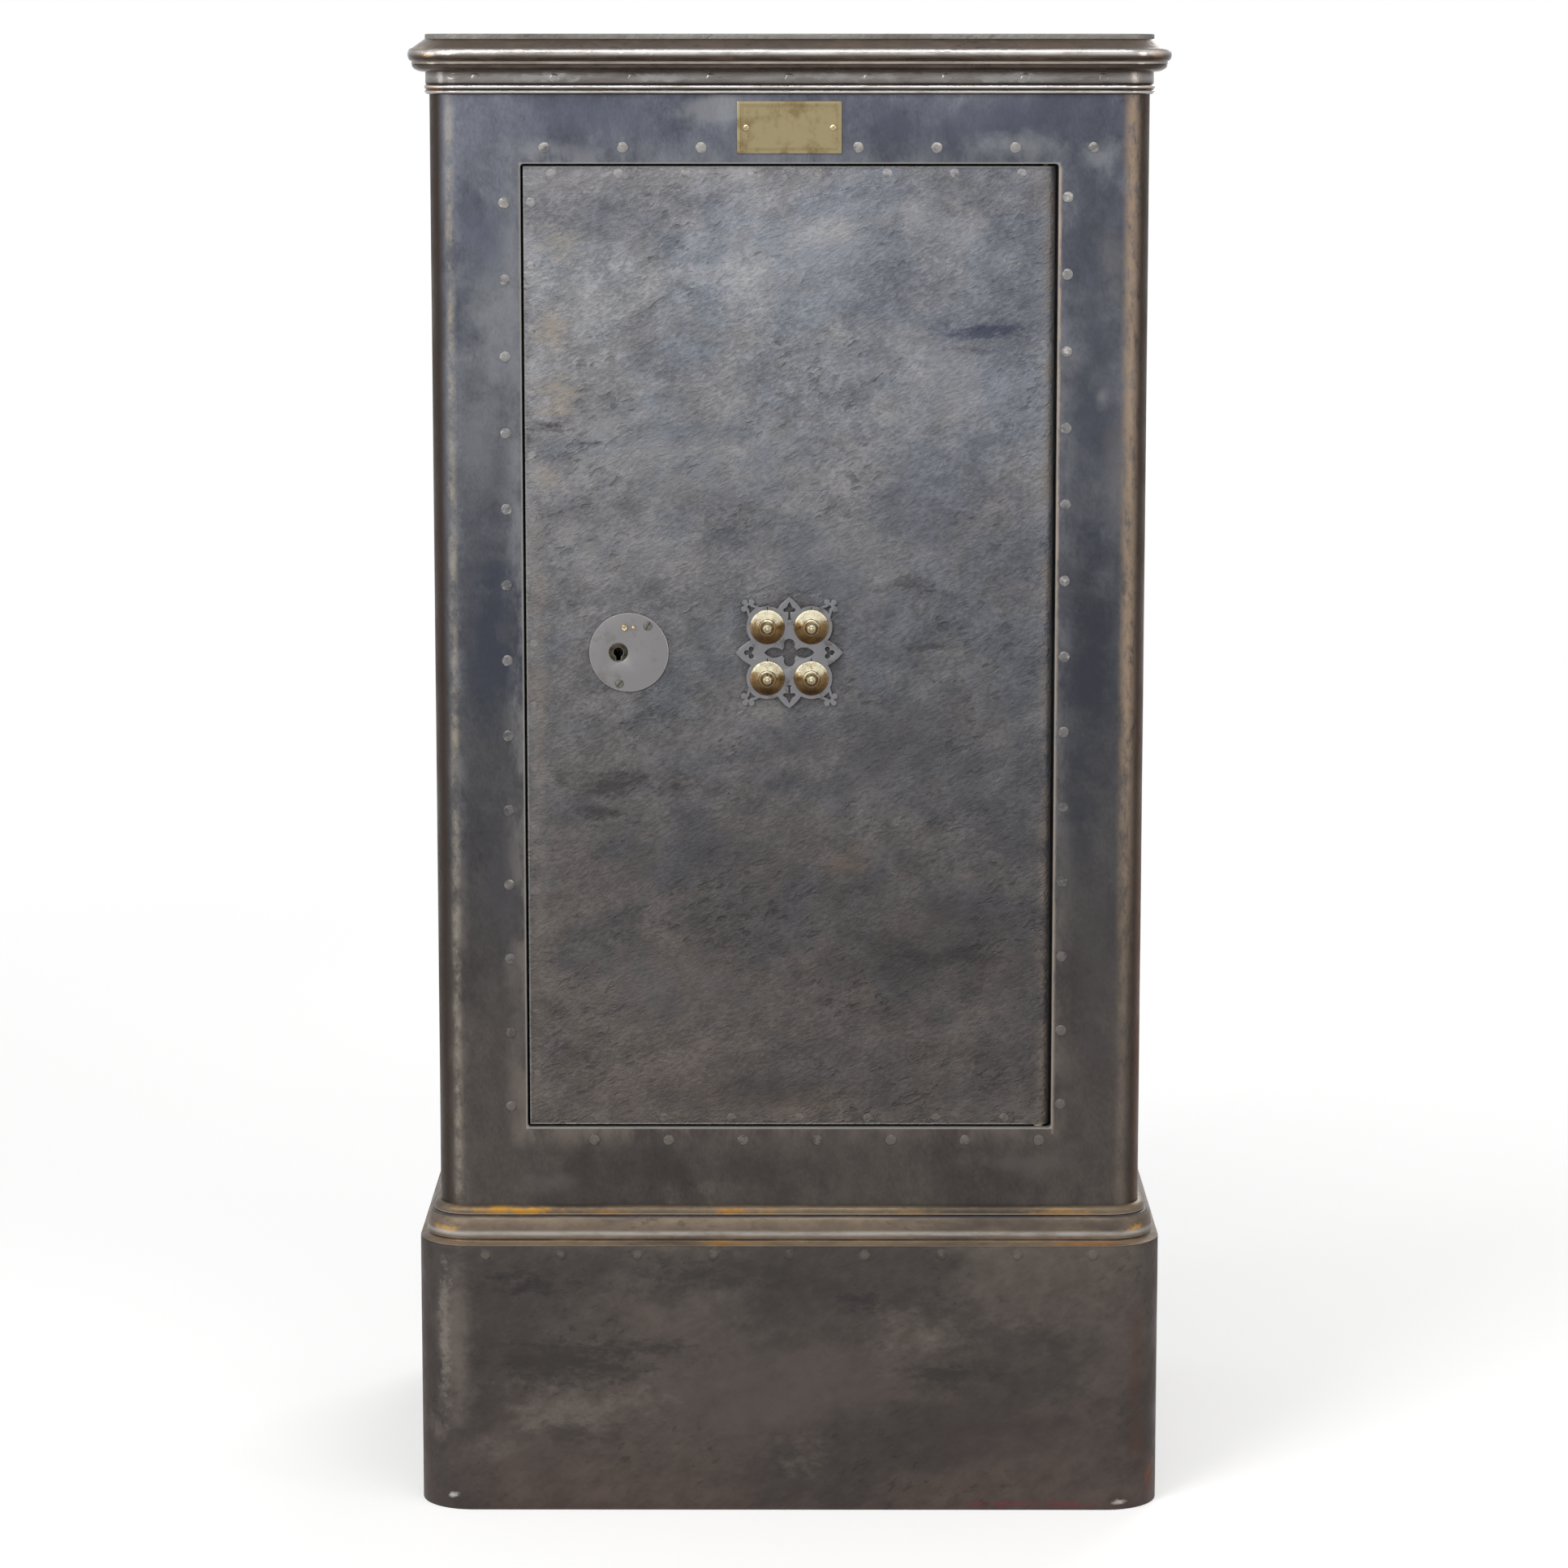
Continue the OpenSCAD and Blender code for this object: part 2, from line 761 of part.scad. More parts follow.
// The plate's hinge edge is a half round about the pivot
module door_plate() {
    x0 = -open_w / 2 + door_gap;
    z0 = sill_z + door_gap;
    h = open_h - 2 * door_gap;
    color(door_iron) difference() {
        translate([0, 0, z0]) linear_extrude(h) {
            translate([x0, door_front]) square([pivot_x - x0, door_t]);
            translate([pivot_x, pivot_y]) circle(heel_r);
        }
        rod_y(key_x, door_front - cut, mid_z, barrel_r + fit, door_t + 2 * cut);
        at_knobs() rod_y(0, door_front - cut, 0, spindle_r + fit, door_t + 2 * cut);
        at_pivots() translate([0, 0, -pin_in - door_gap]) cylinder(r = pin_r, h = pin_in + cut);
    }
}

// The four knobs' places on the door
module at_knobs() {
    for (sx = [-1, 1], sz = [-1, 1]) at_knob(sx, sz) children();
}

module at_knob(sx, sz) {
    translate([sx * knob_dx / 2, 0, mid_z + sz * knob_dz / 2]) children();
}

module door_pan() {
    color(door_iron) difference() {
        block(pan_x0, pan_x1, door_back, pan_back, pan_z, pan_z + pan_h);
        block(
            pan_x0 + pan_side_t, pan_x1 - pan_side_t, door_back - cut, pan_back - pan_back_t,
            pan_z + pan_side_t, pan_z + pan_h - pan_side_t
        );
        rod_y(key_x, door_back, mid_z, barrel_r + fit, pan_d + cut);
        at_knobs() rod_y(0, door_back, 0, spindle_r + fit, pan_d + cut);
    }
}

module door_core() {
    color(filler) difference() {
        block(
            pan_x0 + pan_side_t, pan_x1 - pan_side_t, door_back, pan_back - pan_back_t,
            pan_z + pan_side_t, pan_z + pan_h - pan_side_t
        );
        rod_y(key_x, door_back - cut, mid_z, barrel_r + core_clear, pan_d);
        at_knobs() rod_y(0, door_back - cut, 0, spindle_r + core_clear, pan_d);
    }
}

module hinge_dogs() {
    color(steel) for (i = [0:dog_count - 1])
        block(
            dog_x1 - dog_len, dog_x1, pan_back, pan_back + dog_t,
            dog_z(i) - dog_h / 2, dog_z(i) + dog_h / 2
        );
}

// Each pin stands half in the door's heel and half in its bush
module pivot_pins() {
    color(bright) at_pivots() translate([0, 0, -pin_in - door_gap])
        cylinder(r = pin_r, h = 2 * pin_in + door_gap - 1);
}

// Key lock on the door's face

module lock_disc() {
    bevel = 0.5;
    color(steel) difference() {
        about_y(disc_x, door_front, mid_z)
            polygon([[0, 0], [disc_r, 0], [disc_r, disc_t - bevel], [disc_r - bevel, disc_t], [0, disc_t]]);
        rod_y(key_x, door_front - disc_t - cut, mid_z, disc_hole_r, disc_t + 2 * cut);
    }
}

// A hollow stud and a plain one, up on the disc
module lock_studs() {
    hollow_x = 4.5;
    hollow_z = 25.9;
    hollow_r = 1.8;
    hollow_wall = 1.7;
    hollow_h = 1.6;
    plain_x = 4.7;
    plain_z = 26.7;
    plain_r = 2.7;
    plain_h = 1.2;
    color(steel) {
        about_y(disc_x - hollow_x, door_front - disc_t, mid_z + hollow_z)
            translate([hollow_r, 0]) square([hollow_wall, hollow_h]);
        rivet_head(disc_x + plain_x, door_front - disc_t, mid_z + plain_z, plain_r, plain_h);
    }
}

module slotted_screw(x, z, r, turn) {
    head = 1.2;
    slot = 0.9;
    color(steel) difference() {
        rivet_head(x, door_front - disc_t, z, r, head);
        translate([x, door_front - disc_t - head, z]) rotate([0, turn, 0])
            cube([2 * r + cut, head, slot], center = true);
    }
}

module lock_screws() {
    upper_x = 19.9;
    upper_z = 27.5;
    upper_r = 4.7;
    lower_x = 9.8;
    lower_z = 32.9;
    lower_r = 4.35;
    slotted_screw(disc_x + upper_x, mid_z + upper_z, upper_r, 35);
    slotted_screw(disc_x - lower_x, mid_z - lower_z, lower_r, -20);
}

// Pierced plate

// Outline: a round lobe behind each knob, a pointed arch on each side and a trefoil on each corner
module escutcheon_outline() {
    arch_h = 36;
    square([knob_dx, knob_dz], center = true);
    for (side = [-1, 1]) {
        translate([0, side * (knob_dz / 2 - 4.8)]) vesica(19, arch_h);
        translate([side * (knob_dx / 2 - 3.35), 0]) rotate(90) vesica(18, arch_h);
    }
    each_corner() {
        circle(lobe_r);
        corner_trefoil();
    }
}

// Shapes placed from the middle of the knob in each corner, mirrored to point outward
module each_corner() {
    for (sx = [0, 1], sz = [0, 1]) mirror([sx, 0]) mirror([0, sz])
        translate([knob_dx / 2, knob_dz / 2]) children();
}

module corner_trefoil() {
    leaf = 2.9;
    polygon([[10, 10], [19, 8.5], [21.5, 17], [21, 22], [15, 23.5], [7.6, 20.2]]);
    for (p = [[24.3, 18.7], [23.2, 25.6], [16.3, 26]]) translate(p) circle(leaf);
    translate([20.6, 22.4]) circle(leaf);
}

module escutcheon_piercings() {
    // Quatrefoil in the middle, with round leaves up and down and pointed ones at the sides
    circle(7.9);
    for (side = [-1, 1]) {
        translate([0, side * 8.7]) circle(5.8);
        translate([side * 15.4, 0]) rotate(90) vesica(5.5, 10.5);
        side_trefoil(side);
    }
    for (turn = [0, 180]) rotate(turn) arrow();
    each_corner() corner_piercing();
}

// Three-cornered, with a round outer end
module corner_piercing() {
    polygon([[12, 19.8], [16.2, 20.9], [19, 21.5], [20, 19.5], [18.9, 17.6], [18.3, 14.2], [15, 17.2]]);
    translate([18.8, 20.7]) circle(1.9);
}

module side_trefoil(side) {
    leaf = 2.7;
    translate([side * (knob_dx / 2 + 21.4), 0]) circle(leaf);
    for (s = [-1, 1]) translate([side * (knob_dx / 2 + 16.7), s * 3.7]) circle(leaf);
    translate([side * (knob_dx / 2 + 18.2), 0]) circle(2.4);
}

// Pointed head with a round barb on each side, on a stem with a foot
module arrow() {
    translate([0, knob_dz / 2 + 7.4]) {
        polygon([
            [0, 19.2], [3, 13.3], [4.6, 12.1], [4.4, 8.25], [-4.4, 8.25], [-4.6, 12.1], [-3, 13.3]
        ]);
        for (side = [-1, 1]) translate([side * 4.4, 10.2]) circle(2);
        translate([-1.1, 0]) square([2.2, 9]);
        translate([-1.9, 0]) square([3.8, 1.5]);
    }
}

module escutcheon() {
    tick_w = 1.3;
    tick_d = 0.8;
    color(steel) difference() {
        along_y(0, door_front - esc_t, mid_z, esc_t) difference() {
            escutcheon_outline();
            escutcheon_piercings();
            for (sx = [-1, 1], sz = [-1, 1])
                translate([sx * knob_dx / 2, sz * knob_dz / 2]) circle(spindle_r + 1);
        }
        // Index mark above each knob
        at_knobs() block(
            -tick_w / 2, tick_w / 2, door_front - esc_t - cut, door_front - esc_t + tick_d,
            knob_r - 2, lobe_r - 0.8
        );
    }
}

// Dials: knob, spindle and notched wheel

knob_back = door_front - esc_t - knob_gap;
knob_depth = 10;
knob_reach = 30;

module knob(sx, sz) {
    color(brass) at_knob(sx, sz) difference() {
        about_y(0, knob_back, 0) intersection() {
            union() {
                polygon([[0, 0], [knob_r, 0], [knob_r, 1], [knob_r - 0.8, 1.8], [8.9, 9.4], [8.2, 9.8],
                         [8.2, 12.8], [6.3, 13], [6.3, 14.4], [0, 14.4]]);
                translate([8.2, 11.3]) circle(1.1);
                translate([0, 13.4]) circle(5.6);
                translate([0, 18.9]) circle(2.3);
            }
            square([knob_r, knob_reach]);
        }
        rod_y(0, knob_back - knob_depth, 0, spindle_r, knob_depth + cut);
    }
}

module spindle(sx, sz) {
    color(bright) at_knob(sx, sz)
        rod_y(0, knob_back - knob_depth, 0, spindle_r, works_y + wheel_t - knob_back + knob_depth);
}

// The notch faces the fence, at the free side of the door
module wheel(sx, sz) {
    notch_d = 6;
    color(steel) at_knob(sx, sz) difference() {
        rod_y(0, works_y, 0, wheel_r, wheel_t);
        rod_y(0, works_y - cut, 0, spindle_r, wheel_t + 2 * cut);
        block(
            -wheel_r - cut, -wheel_r + notch_d, works_y - cut, works_y + wheel_t + cut,
            -notch_w / 2, notch_w / 2
        );
    }
}

module knob_upper_left() {
    knob(-1, 1);
}

module knob_upper_right() {
    knob(1, 1);
}

module knob_lower_left() {
    knob(-1, -1);
}

module knob_lower_right() {
    knob(1, -1);
}

module spindle_upper_left() {
    spindle(-1, 1);
}

module spindle_upper_right() {
    spindle(1, 1);
}

module spindle_lower_left() {
    spindle(-1, -1);
}

module spindle_lower_right() {
    spindle(1, -1);
}

module wheel_upper_left() {
    wheel(-1, 1);
}

module wheel_upper_right() {
    wheel(1, 1);
}

module wheel_lower_left() {
    wheel(-1, -1);
}

module wheel_lower_right() {
    wheel(1, -1);
}

// Boltwork on the pan's back

module bolt_guide() {
    color(steel) difference() {
        block(
            guide_x, guide_x + guide_t, pan_back, bolt_y + bolt_r + guide_edge,
            bolt_z(0) - bolt_r - bar_end, bolt_z(bolt_count - 1) + bolt_r + bar_end
        );
        for (i = [0:bolt_count - 1])
            rod_x(guide_x - cut, bolt_y, bolt_z(i), bolt_r + fit, guide_t + 2 * cut);
    }
}

// One bolt, drawn back, with its tail through the upright bar
module bolt(i) {
    nose = 2;
    color(bright) translate([tip_x, bolt_y, bolt_z(i)]) rotate([0, 90, 0]) rotate_extrude() polygon([
        [0, 0], [bolt_r - nose, 0], [bolt_r, nose], [bolt_r, bar_x - tip_x],
        [tail_r, bar_x - tip_x], [tail_r, bar_x - tip_x + bar_t + nut_t], [0, bar_x - tip_x + bar_t + nut_t]
    ]);
}

module bolt_1() {
    bolt(0);
}

module bolt_2() {
    bolt(1);
}

module bolt_3() {
    bolt(2);
}

module bolt_4() {
    bolt(3);
}

module bolt_nuts() {
    color(steel) for (i = [0:bolt_count - 1])
        translate([bar_x + bar_t, bolt_y, bolt_z(i)]) rotate([0, 90, 0]) difference() {
            cylinder(d = nut_af / cos(30), h = nut_t, $fn = 6);
            translate([0, 0, -cut]) cylinder(r = tail_r, h = nut_t + 2 * cut);
        }
}

module carriage_bar() {
    color(steel) difference() {
        block(
            bar_x, bar_x + bar_t, carriage_y, carriage_y + bar_d,
            bolt_z(0) - bar_end, bolt_z(bolt_count - 1) + bar_end
        );
        for (i = [0:bolt_count - 1]) rod_x(bar_x - cut, bolt_y, bolt_z(i), tail_r, bar_t + 2 * cut);
    }
}

// Section of the rack's teeth about the pinion's axis, pointing down at the pinion
module rack_teeth() {
    half = tooth_pitch / 4 - backlash / 2;
    tip = half - rack_addendum * tan(pressure);
    root = half + dedendum * tan(pressure);
    for (i = [-rack_teeth_left:rack_teeth_right]) translate([i * tooth_pitch, pitch_r]) polygon([
        [-tip, -rack_addendum], [tip, -rack_addendum], [root, dedendum + cut], [-root, dedendum + cut]
    ]);
}

module rack_bar() {
    color(steel) {
        block(bar_x, fence_x, works_y, carriage_y, rack_root_z, rack_top_z);
        along_y(key_x, works_y, mid_z, rack_t) rack_teeth();
    }
}

// Fence that the wheels' notches would let in, on the end of the rack bar
module fence_bar() {
    color(steel) block(
        fence_x, fence_x + fence_t, works_y, carriage_y,
        mid_z - knob_dz / 2 - fence_over, mid_z + knob_dz / 2 + fence_over
    );
}

// Strap that the rack bar slides under
module rack_keeper() {
    color(steel) difference() {
        block(
            keeper_x - keeper_w / 2, keeper_x + keeper_w / 2,
            pan_back, carriage_y + keeper_gap + keeper_wall,
            rack_root_z - keeper_gap - keeper_wall, rack_top_z + keeper_gap + keeper_wall
        );
        block(
            keeper_x - keeper_w / 2 - cut, keeper_x + keeper_w / 2 + cut,
            works_y - keeper_gap, carriage_y + keeper_gap, rack_root_z - keeper_gap, rack_top_z + keeper_gap
        );
    }
}

// Key barrel and pinion

module key_barrel() {
    color(steel) difference() {
        rod_y(key_x, barrel_front, mid_z, barrel_r, barrel_end - barrel_front);
        rod_y(key_x, barrel_front - cut, mid_z, key_r, key_d + cut);
        block(
            key_x - slot_w / 2, key_x + slot_w / 2, barrel_front - cut, barrel_front + key_d,
            mid_z - slot_out, mid_z
        );
    }
}

// Angle in degrees between an involute's start and its point at radius r
function involute(base_r, r) =
    let (roll = sqrt(max(0, pow(r / base_r, 2) - 1))) roll * 180 / PI - atan(roll);

function polar(r, a) = [r * cos(a), r * sin(a)];

// One tooth about the angle a, from the root circle to the tip circle
module pinion_tooth(a) {
    base_r = pitch_r * cos(pressure);
    root_r = pitch_r - dedendum;
    tip_r = pitch_r + tooth_m;
    half = 90 / teeth - backlash / 2 / pitch_r * 180 / PI / 2 + involute(base_r, pitch_r);
    radii = [for (i = [0:flank_steps]) base_r + (tip_r - base_r) * i / flank_steps];
    left = [for (r = radii) polar(r, a - half + involute(base_r, r))];
    right = [for (i = [flank_steps:-1:0]) polar(radii[i], a + half - involute(base_r, radii[i]))];
    polygon(concat([polar(root_r - 1, a - half)], left, right, [polar(root_r - 1, a + half)]));
}

module pinion() {
    color(steel) along_y(key_x, works_y, mid_z, pinion_t) difference() {
        union() {
            circle(pitch_r - dedendum);
            for (i = [0:teeth - 1]) pinion_tooth(90 + (i + 0.5) * 360 / teeth);
        }
        circle(barrel_r);
    }
}

body_shell();
back_plate();
body_floor();
top_plate();
cornice();
foot_bead();
plinth_box();
plinth_back();
plinth_moulding();
plinth_deck();
jamb_lock_side();
jamb_hinge_side();
jamb_head();
jamb_sill();
pivot_bushes();
inner_lining();
fire_filling();
shelf_upper();
shelf_lower();
shelf_battens();
frame_rivets();
maker_plate();
plate_screws();
door_plate();
door_pan();
door_core();
hinge_dogs();
pivot_pins();
lock_disc();
lock_studs();
lock_screws();
escutcheon();
bolt_guide();
rack_keeper();
knob_upper_left();
knob_upper_right();
knob_lower_left();
knob_lower_right();
spindle_upper_left();
spindle_upper_right();
spindle_lower_left();
spindle_lower_right();
wheel_upper_left();
wheel_upper_right();
wheel_lower_left();
wheel_lower_right();
bolt_1();
bolt_2();
bolt_3();
bolt_4();
bolt_nuts();
carriage_bar();
rack_bar();
fence_bar();
key_barrel();
pinion();
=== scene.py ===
"""Looks of an old iron safe on its plinth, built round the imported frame.

Lengths are in millimetres until a piece is settled into the scene. The axes are the frame's:
x to the right, y away from the viewer and z up from the floor.
"""

import sys

import logging
import math
from collections.abc import Iterable, Sequence
from dataclasses import dataclass
from enum import Enum

import bmesh
import bpy
from bmesh.types import BMEdge, BMesh, BMFace, BMVert
from bpy.types import Material, Node, NodeSocket, Object
from mathutils import Matrix, Vector, noise


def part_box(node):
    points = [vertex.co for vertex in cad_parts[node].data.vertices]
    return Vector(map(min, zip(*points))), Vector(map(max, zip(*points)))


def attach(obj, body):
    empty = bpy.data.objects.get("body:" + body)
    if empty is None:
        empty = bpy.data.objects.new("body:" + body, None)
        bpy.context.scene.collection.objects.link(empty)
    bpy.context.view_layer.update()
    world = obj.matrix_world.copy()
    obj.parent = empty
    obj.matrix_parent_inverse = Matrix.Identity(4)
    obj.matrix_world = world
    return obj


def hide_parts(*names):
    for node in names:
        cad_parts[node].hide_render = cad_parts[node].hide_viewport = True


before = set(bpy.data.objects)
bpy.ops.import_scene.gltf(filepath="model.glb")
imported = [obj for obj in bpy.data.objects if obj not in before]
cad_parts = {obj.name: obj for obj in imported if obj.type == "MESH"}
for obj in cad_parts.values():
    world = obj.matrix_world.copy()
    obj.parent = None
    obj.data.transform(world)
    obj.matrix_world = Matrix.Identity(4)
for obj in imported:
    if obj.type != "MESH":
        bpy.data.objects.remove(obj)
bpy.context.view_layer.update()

MM = 0.001
SHARP = math.radians(32)
MERGE = 0.004
ARRIS = "arris"

RGB = tuple[int, int, int]
Value = float | Sequence[float] | NodeSocket

log = logging.getLogger("safe")


class Body(Enum):
    """Bodies of the frame that pieces ride on."""

    CASING = "casing"
    DOOR = "door"
    CARRIAGE = "carriage"
    BARREL = "barrel"


class Slot(Enum):
    """Material slots."""

    BODY_IRON = "body_iron"
    DOOR_IRON = "door_iron"
    MOULDING_IRON = "moulding_iron"
    PLINTH_IRON = "plinth_iron"
    SATIN_STEEL = "satin_steel"
    BRIGHT_STEEL = "bright_steel"
    BRASS = "brass"
    LINING_PAINT = "lining_paint"


@dataclass(frozen=True)
class Extent:
    """Box of a CAD node, in millimetres."""

    x0: float
    x1: float
    y0: float
    y1: float
    z0: float
    z1: float

    @classmethod
    def of(cls, node: str) -> "Extent":
        """Measures the CAD node of that name."""
        low, high = (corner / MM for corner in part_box(node))
        return cls(low.x, high.x, low.y, high.y, low.z, high.z)

    @property
    def mid_x(self) -> float:
        """Middle across."""
        return (self.x0 + self.x1) / 2

    @property
    def mid_z(self) -> float:
        """Middle height."""
        return (self.z0 + self.z1) / 2

    @property
    def half_x(self) -> float:
        """Half the width."""
        return (self.x1 - self.x0) / 2

    @property
    def half_z(self) -> float:
        """Half the height."""
        return (self.z1 - self.z0) / 2


SHELL = Extent.of("body_shell")
DOOR = Extent.of("door_plate")
PLINTH_BACK = Extent.of("plinth_back")
CORNICE = Extent.of("cornice")
DISC = Extent.of("lock_disc")
PLATE = Extent.of("maker_plate")
DOOR_GAP = 2.5
OPEN_HALF = -DOOR.x0 + DOOR_GAP
OPEN_LOW = DOOR.z0 - DOOR_GAP
OPEN_HIGH = DOOR.z1 + DOOR_GAP


def linear(colour: RGB) -> tuple[float, float, float, float]:
    """Turns a colour as it is seen on a screen into one that a shader reads.

    Args:
        colour: Red, green and blue from 0 to 255.

    Returns:
        The same colour in linear light, with full alpha.
    """
    parts = [c / 255 for c in colour]
    return (*[c / 12.92 if c <= 0.04045 else ((c + 0.055) / 1.055) ** 2.4 for c in parts], 1.0)


class Recipe:
    """Node tree of one material, written one node at a time, and its colour so far."""

    def __init__(self, name: str, ground: Value | RGB = (255, 255, 255)) -> None:
        """Starts a material with a plain shader.

        Args:
            name: Name of the material.
            ground: Colour that the others are laid on.
        """
        self.colour = ground
        self.material = bpy.data.materials.new(name)
        self.material.use_nodes = True
        self.tree = self.material.node_tree
        self.tree.nodes.clear()
        self.shader = self.node("ShaderNodeBsdfPrincipled")
        self.node("ShaderNodeOutputMaterial", {"Surface": self.shader.outputs["BSDF"]})
        self.place = self.node("ShaderNodeTexCoord").outputs["Object"]
        self.axes = self.node("ShaderNodeSeparateXYZ", {0: self.place}).outputs

    def node(self, kind: str, values: dict[str | int, Value] | None = None, **settings: object) -> Node:
        """Adds a node.

        Args:
            kind: Type of the node.
            values: Value of, or link into, each input that isn't left alone.
            settings: Properties of the node itself.

        Returns:
            The node.
        """
        made = self.tree.nodes.new(kind)
        for key, value in settings.items():
            setattr(made, key, value)
        for key, value in (values or {}).items():
            self.feed(made.inputs[key], value)
        return made

    def feed(self, socket: NodeSocket, value: Value) -> None:
        """Links a socket to an input, or sets the input's own value.

        Args:
            socket: The input.
            value: A socket to link, or a constant.
        """
        if isinstance(value, NodeSocket):
            self.tree.links.new(value, socket)
        else:
            socket.default_value = value

    def finish(self, **values: Value) -> Material:
        """Sets the shader's inputs.

        Args:
            values: Value of each input, which is named with _ for a space.

        Returns:
            The finished material.
        """
        for key, value in values.items():
            self.feed(self.shader.inputs[key.replace("_", " ")], value)
        return self.material

    def sum(self, operation: str, first: Value, second: Value = 0.0) -> NodeSocket:
        """Does one sum on two numbers, by the Math node's operation of that name."""
        return self.node("ShaderNodeMath", {0: first, 1: second}, operation=operation).outputs[0]

    def times(self, first: Value, *others: Value) -> NodeSocket:
        """Multiplies numbers.

        Args:
            first: First number.
            others: What it is multiplied by, in turn.

        Returns:
            The product.
        """
        for other in others:
            first = self.sum("MULTIPLY", first, other)
        return first

    def share(
        self, value: Value, start: float, end: float, low: float = 0.0, high: float = 1.0,
    ) -> NodeSocket:
        """Takes a number smoothly from low to high while it goes from start to end.

        Args:
            value: The number.
            start: Where the change begins.
            end: Where it ends, which may be the lesser.
            low: Result at the start and before it.
            high: Result at the end and past it.

        Returns:
            The result.
        """
        return self.node(
            "ShaderNodeMapRange",
            {0: value, 1: start, 2: end, 3: low, 4: high},
            interpolation_type="SMOOTHSTEP",
        ).outputs[0]

    def cloud(
        self, size: float, detail: float = 3.0, rough: float = 0.55,
        stretch: tuple[float, float, float] = (1, 1, 1), shift: float = 0.0, lean: float = 0.0,
    ) -> NodeSocket:
        """Cloudy noise about 0.5.

        Args:
            size: Size of a cloud in millimetres.
            detail: How many finer layers it has.
            rough: How much the finer layers weigh.
            stretch: How much longer a cloud is along each axis.
            shift: Moves the pattern, so that two clouds differ.
            lean: Turns the clouds in the front's plane, in degrees.

        Returns:
            The noise.
        """
        values: dict[str | int, Value] = {
            "Vector": self.place,
            "Location": (shift, shift, shift),
            "Rotation": (0, math.radians(lean), 0),
            "Scale": [MM * size * s for s in stretch],
        }
        place = self.node("ShaderNodeMapping", values, vector_type="TEXTURE").outputs[0]
        values = {"Vector": place, "Scale": 1.0, "Detail": detail, "Roughness": rough}
        return self.node("ShaderNodeTexNoise", values).outputs[0]

    def mix(self, part: Value, first: Value | RGB, second: Value | RGB, blend: str = "MIX") -> NodeSocket:
        """Mixes two colours.

        Args:
            part: How much of the second colour there is.
            first: First colour, or a link to it.
            second: Second colour, or a link to it.
            blend: Way of mixing.

        Returns:
            The mixed colour.
        """
        colours = [c if isinstance(c, NodeSocket) else linear(c) for c in (first, second)]
        values = {0: part, 6: colours[0], 7: colours[1]}
        return self.node("ShaderNodeMix", values, data_type="RGBA", blend_type=blend).outputs[2]

    def lay(self, part: Value, colour: Value | RGB, blend: str = "MIX") -> None:
        """Lays a part of a colour over the colour so far."""
        self.colour = self.mix(part, self.colour, colour, blend)

    def shade(self, by: NodeSocket) -> None:
        """Multiplies the colour so far by a number."""
        grey = self.node("ShaderNodeCombineXYZ", {0: by, 1: by, 2: by}).outputs[0]
        self.lay(1.0, grey, "MULTIPLY")

    def ramp(self, value: Value, tones: Sequence[tuple[float, RGB]]) -> NodeSocket:
        """Colour that runs through tones.

        Args:
            value: Number that picks the colour.
            tones: Number and colour of each tone, lowest first.

        Returns:
            The colour.
        """
        low, high = tones[0][0], tones[-1][0]
        part = self.node("ShaderNodeMapRange", {0: value, 1: low, 2: high}).outputs[0]
        made = self.node("ShaderNodeValToRGB", {0: part})
        elements = made.color_ramp.elements
        while len(elements) < len(tones):
            elements.new(0.5)
        for element, (at, colour) in zip(elements, tones):
            element.position = (at - low) / (high - low)
            element.color = linear(colour)
        return made.outputs[0]

    def spot(self, x: float, z: float, half_w: float, half_h: float) -> NodeSocket:
        """Distance from a place on the front, where 1 is the rim of an oval.

        Args:
            x: Place across.
            z: Height.
            half_w: Half the oval's width.
            half_h: Half the oval's height.

        Returns:
            The distance.
        """
        scale = (1 / (half_w * MM), 0.0, 1 / (half_h * MM))
        offset = (-x / half_w, 0.0, -z / half_h)
        place = self.node(
            "ShaderNodeVectorMath", {0: self.place, 1: scale, 2: offset}, operation="MULTIPLY_ADD",
        ).outputs[0]
        return self.node("ShaderNodeVectorMath", {0: place}, operation="LENGTH").outputs[1]

    def outside(self, half_w: float, low: float, high: float) -> NodeSocket:
        """Distance in metres outside an upright rectangle about x = 0, negative inside it.

        Args:
            half_w: Half the rectangle's width in millimetres.
            low: Its lower edge.
            high: Its upper edge.

        Returns:
            The distance.
        """
        across = self.sum("SUBTRACT", self.sum("ABSOLUTE", self.axes[0]), half_w * MM)
        middle = (low + high) / 2 * MM
        height = self.sum("ABSOLUTE", self.sum("SUBTRACT", self.axes[2], middle))
        return self.sum("MAXIMUM", across, self.sum("SUBTRACT", height, (high - low) / 2 * MM))

    def line(self, value: Value, at: float, half: float) -> NodeSocket:
        """A soft line, 1 where the number is at a place and 0 beyond half a width from it."""
        return self.share(self.sum("ABSOLUTE", self.sum("SUBTRACT", value, at)), half, 0.0)

    def bump(self, height: Value, depth: float, below: NodeSocket | None = None) -> NodeSocket:
        """Relief.

        Args:
            height: Height from 0 to 1.
            depth: Depth of the relief in millimetres.
            below: Relief that this one lies on.

        Returns:
            The normal.
        """
        values: dict[str | int, Value] = {"Height": height, "Distance": depth * MM, "Strength": 1.0}
        if below is not None:
            values["Normal"] = below
        return self.node("ShaderNodeBump", values).outputs[0]


class Finish:
    """What a surface is made of. Each finish makes its material once."""

    made: dict[str, Material] = {}
    name: str

    def write(self) -> Material:
        """Writes the material's nodes."""
        raise NotImplementedError

    def material(self) -> Material:
        """Writes the finish's material when it is first asked for.

        Returns:
            The material, the same one each time.
        """
        if self.name not in Finish.made:
            Finish.made[self.name] = self.write()
        return Finish.made[self.name]


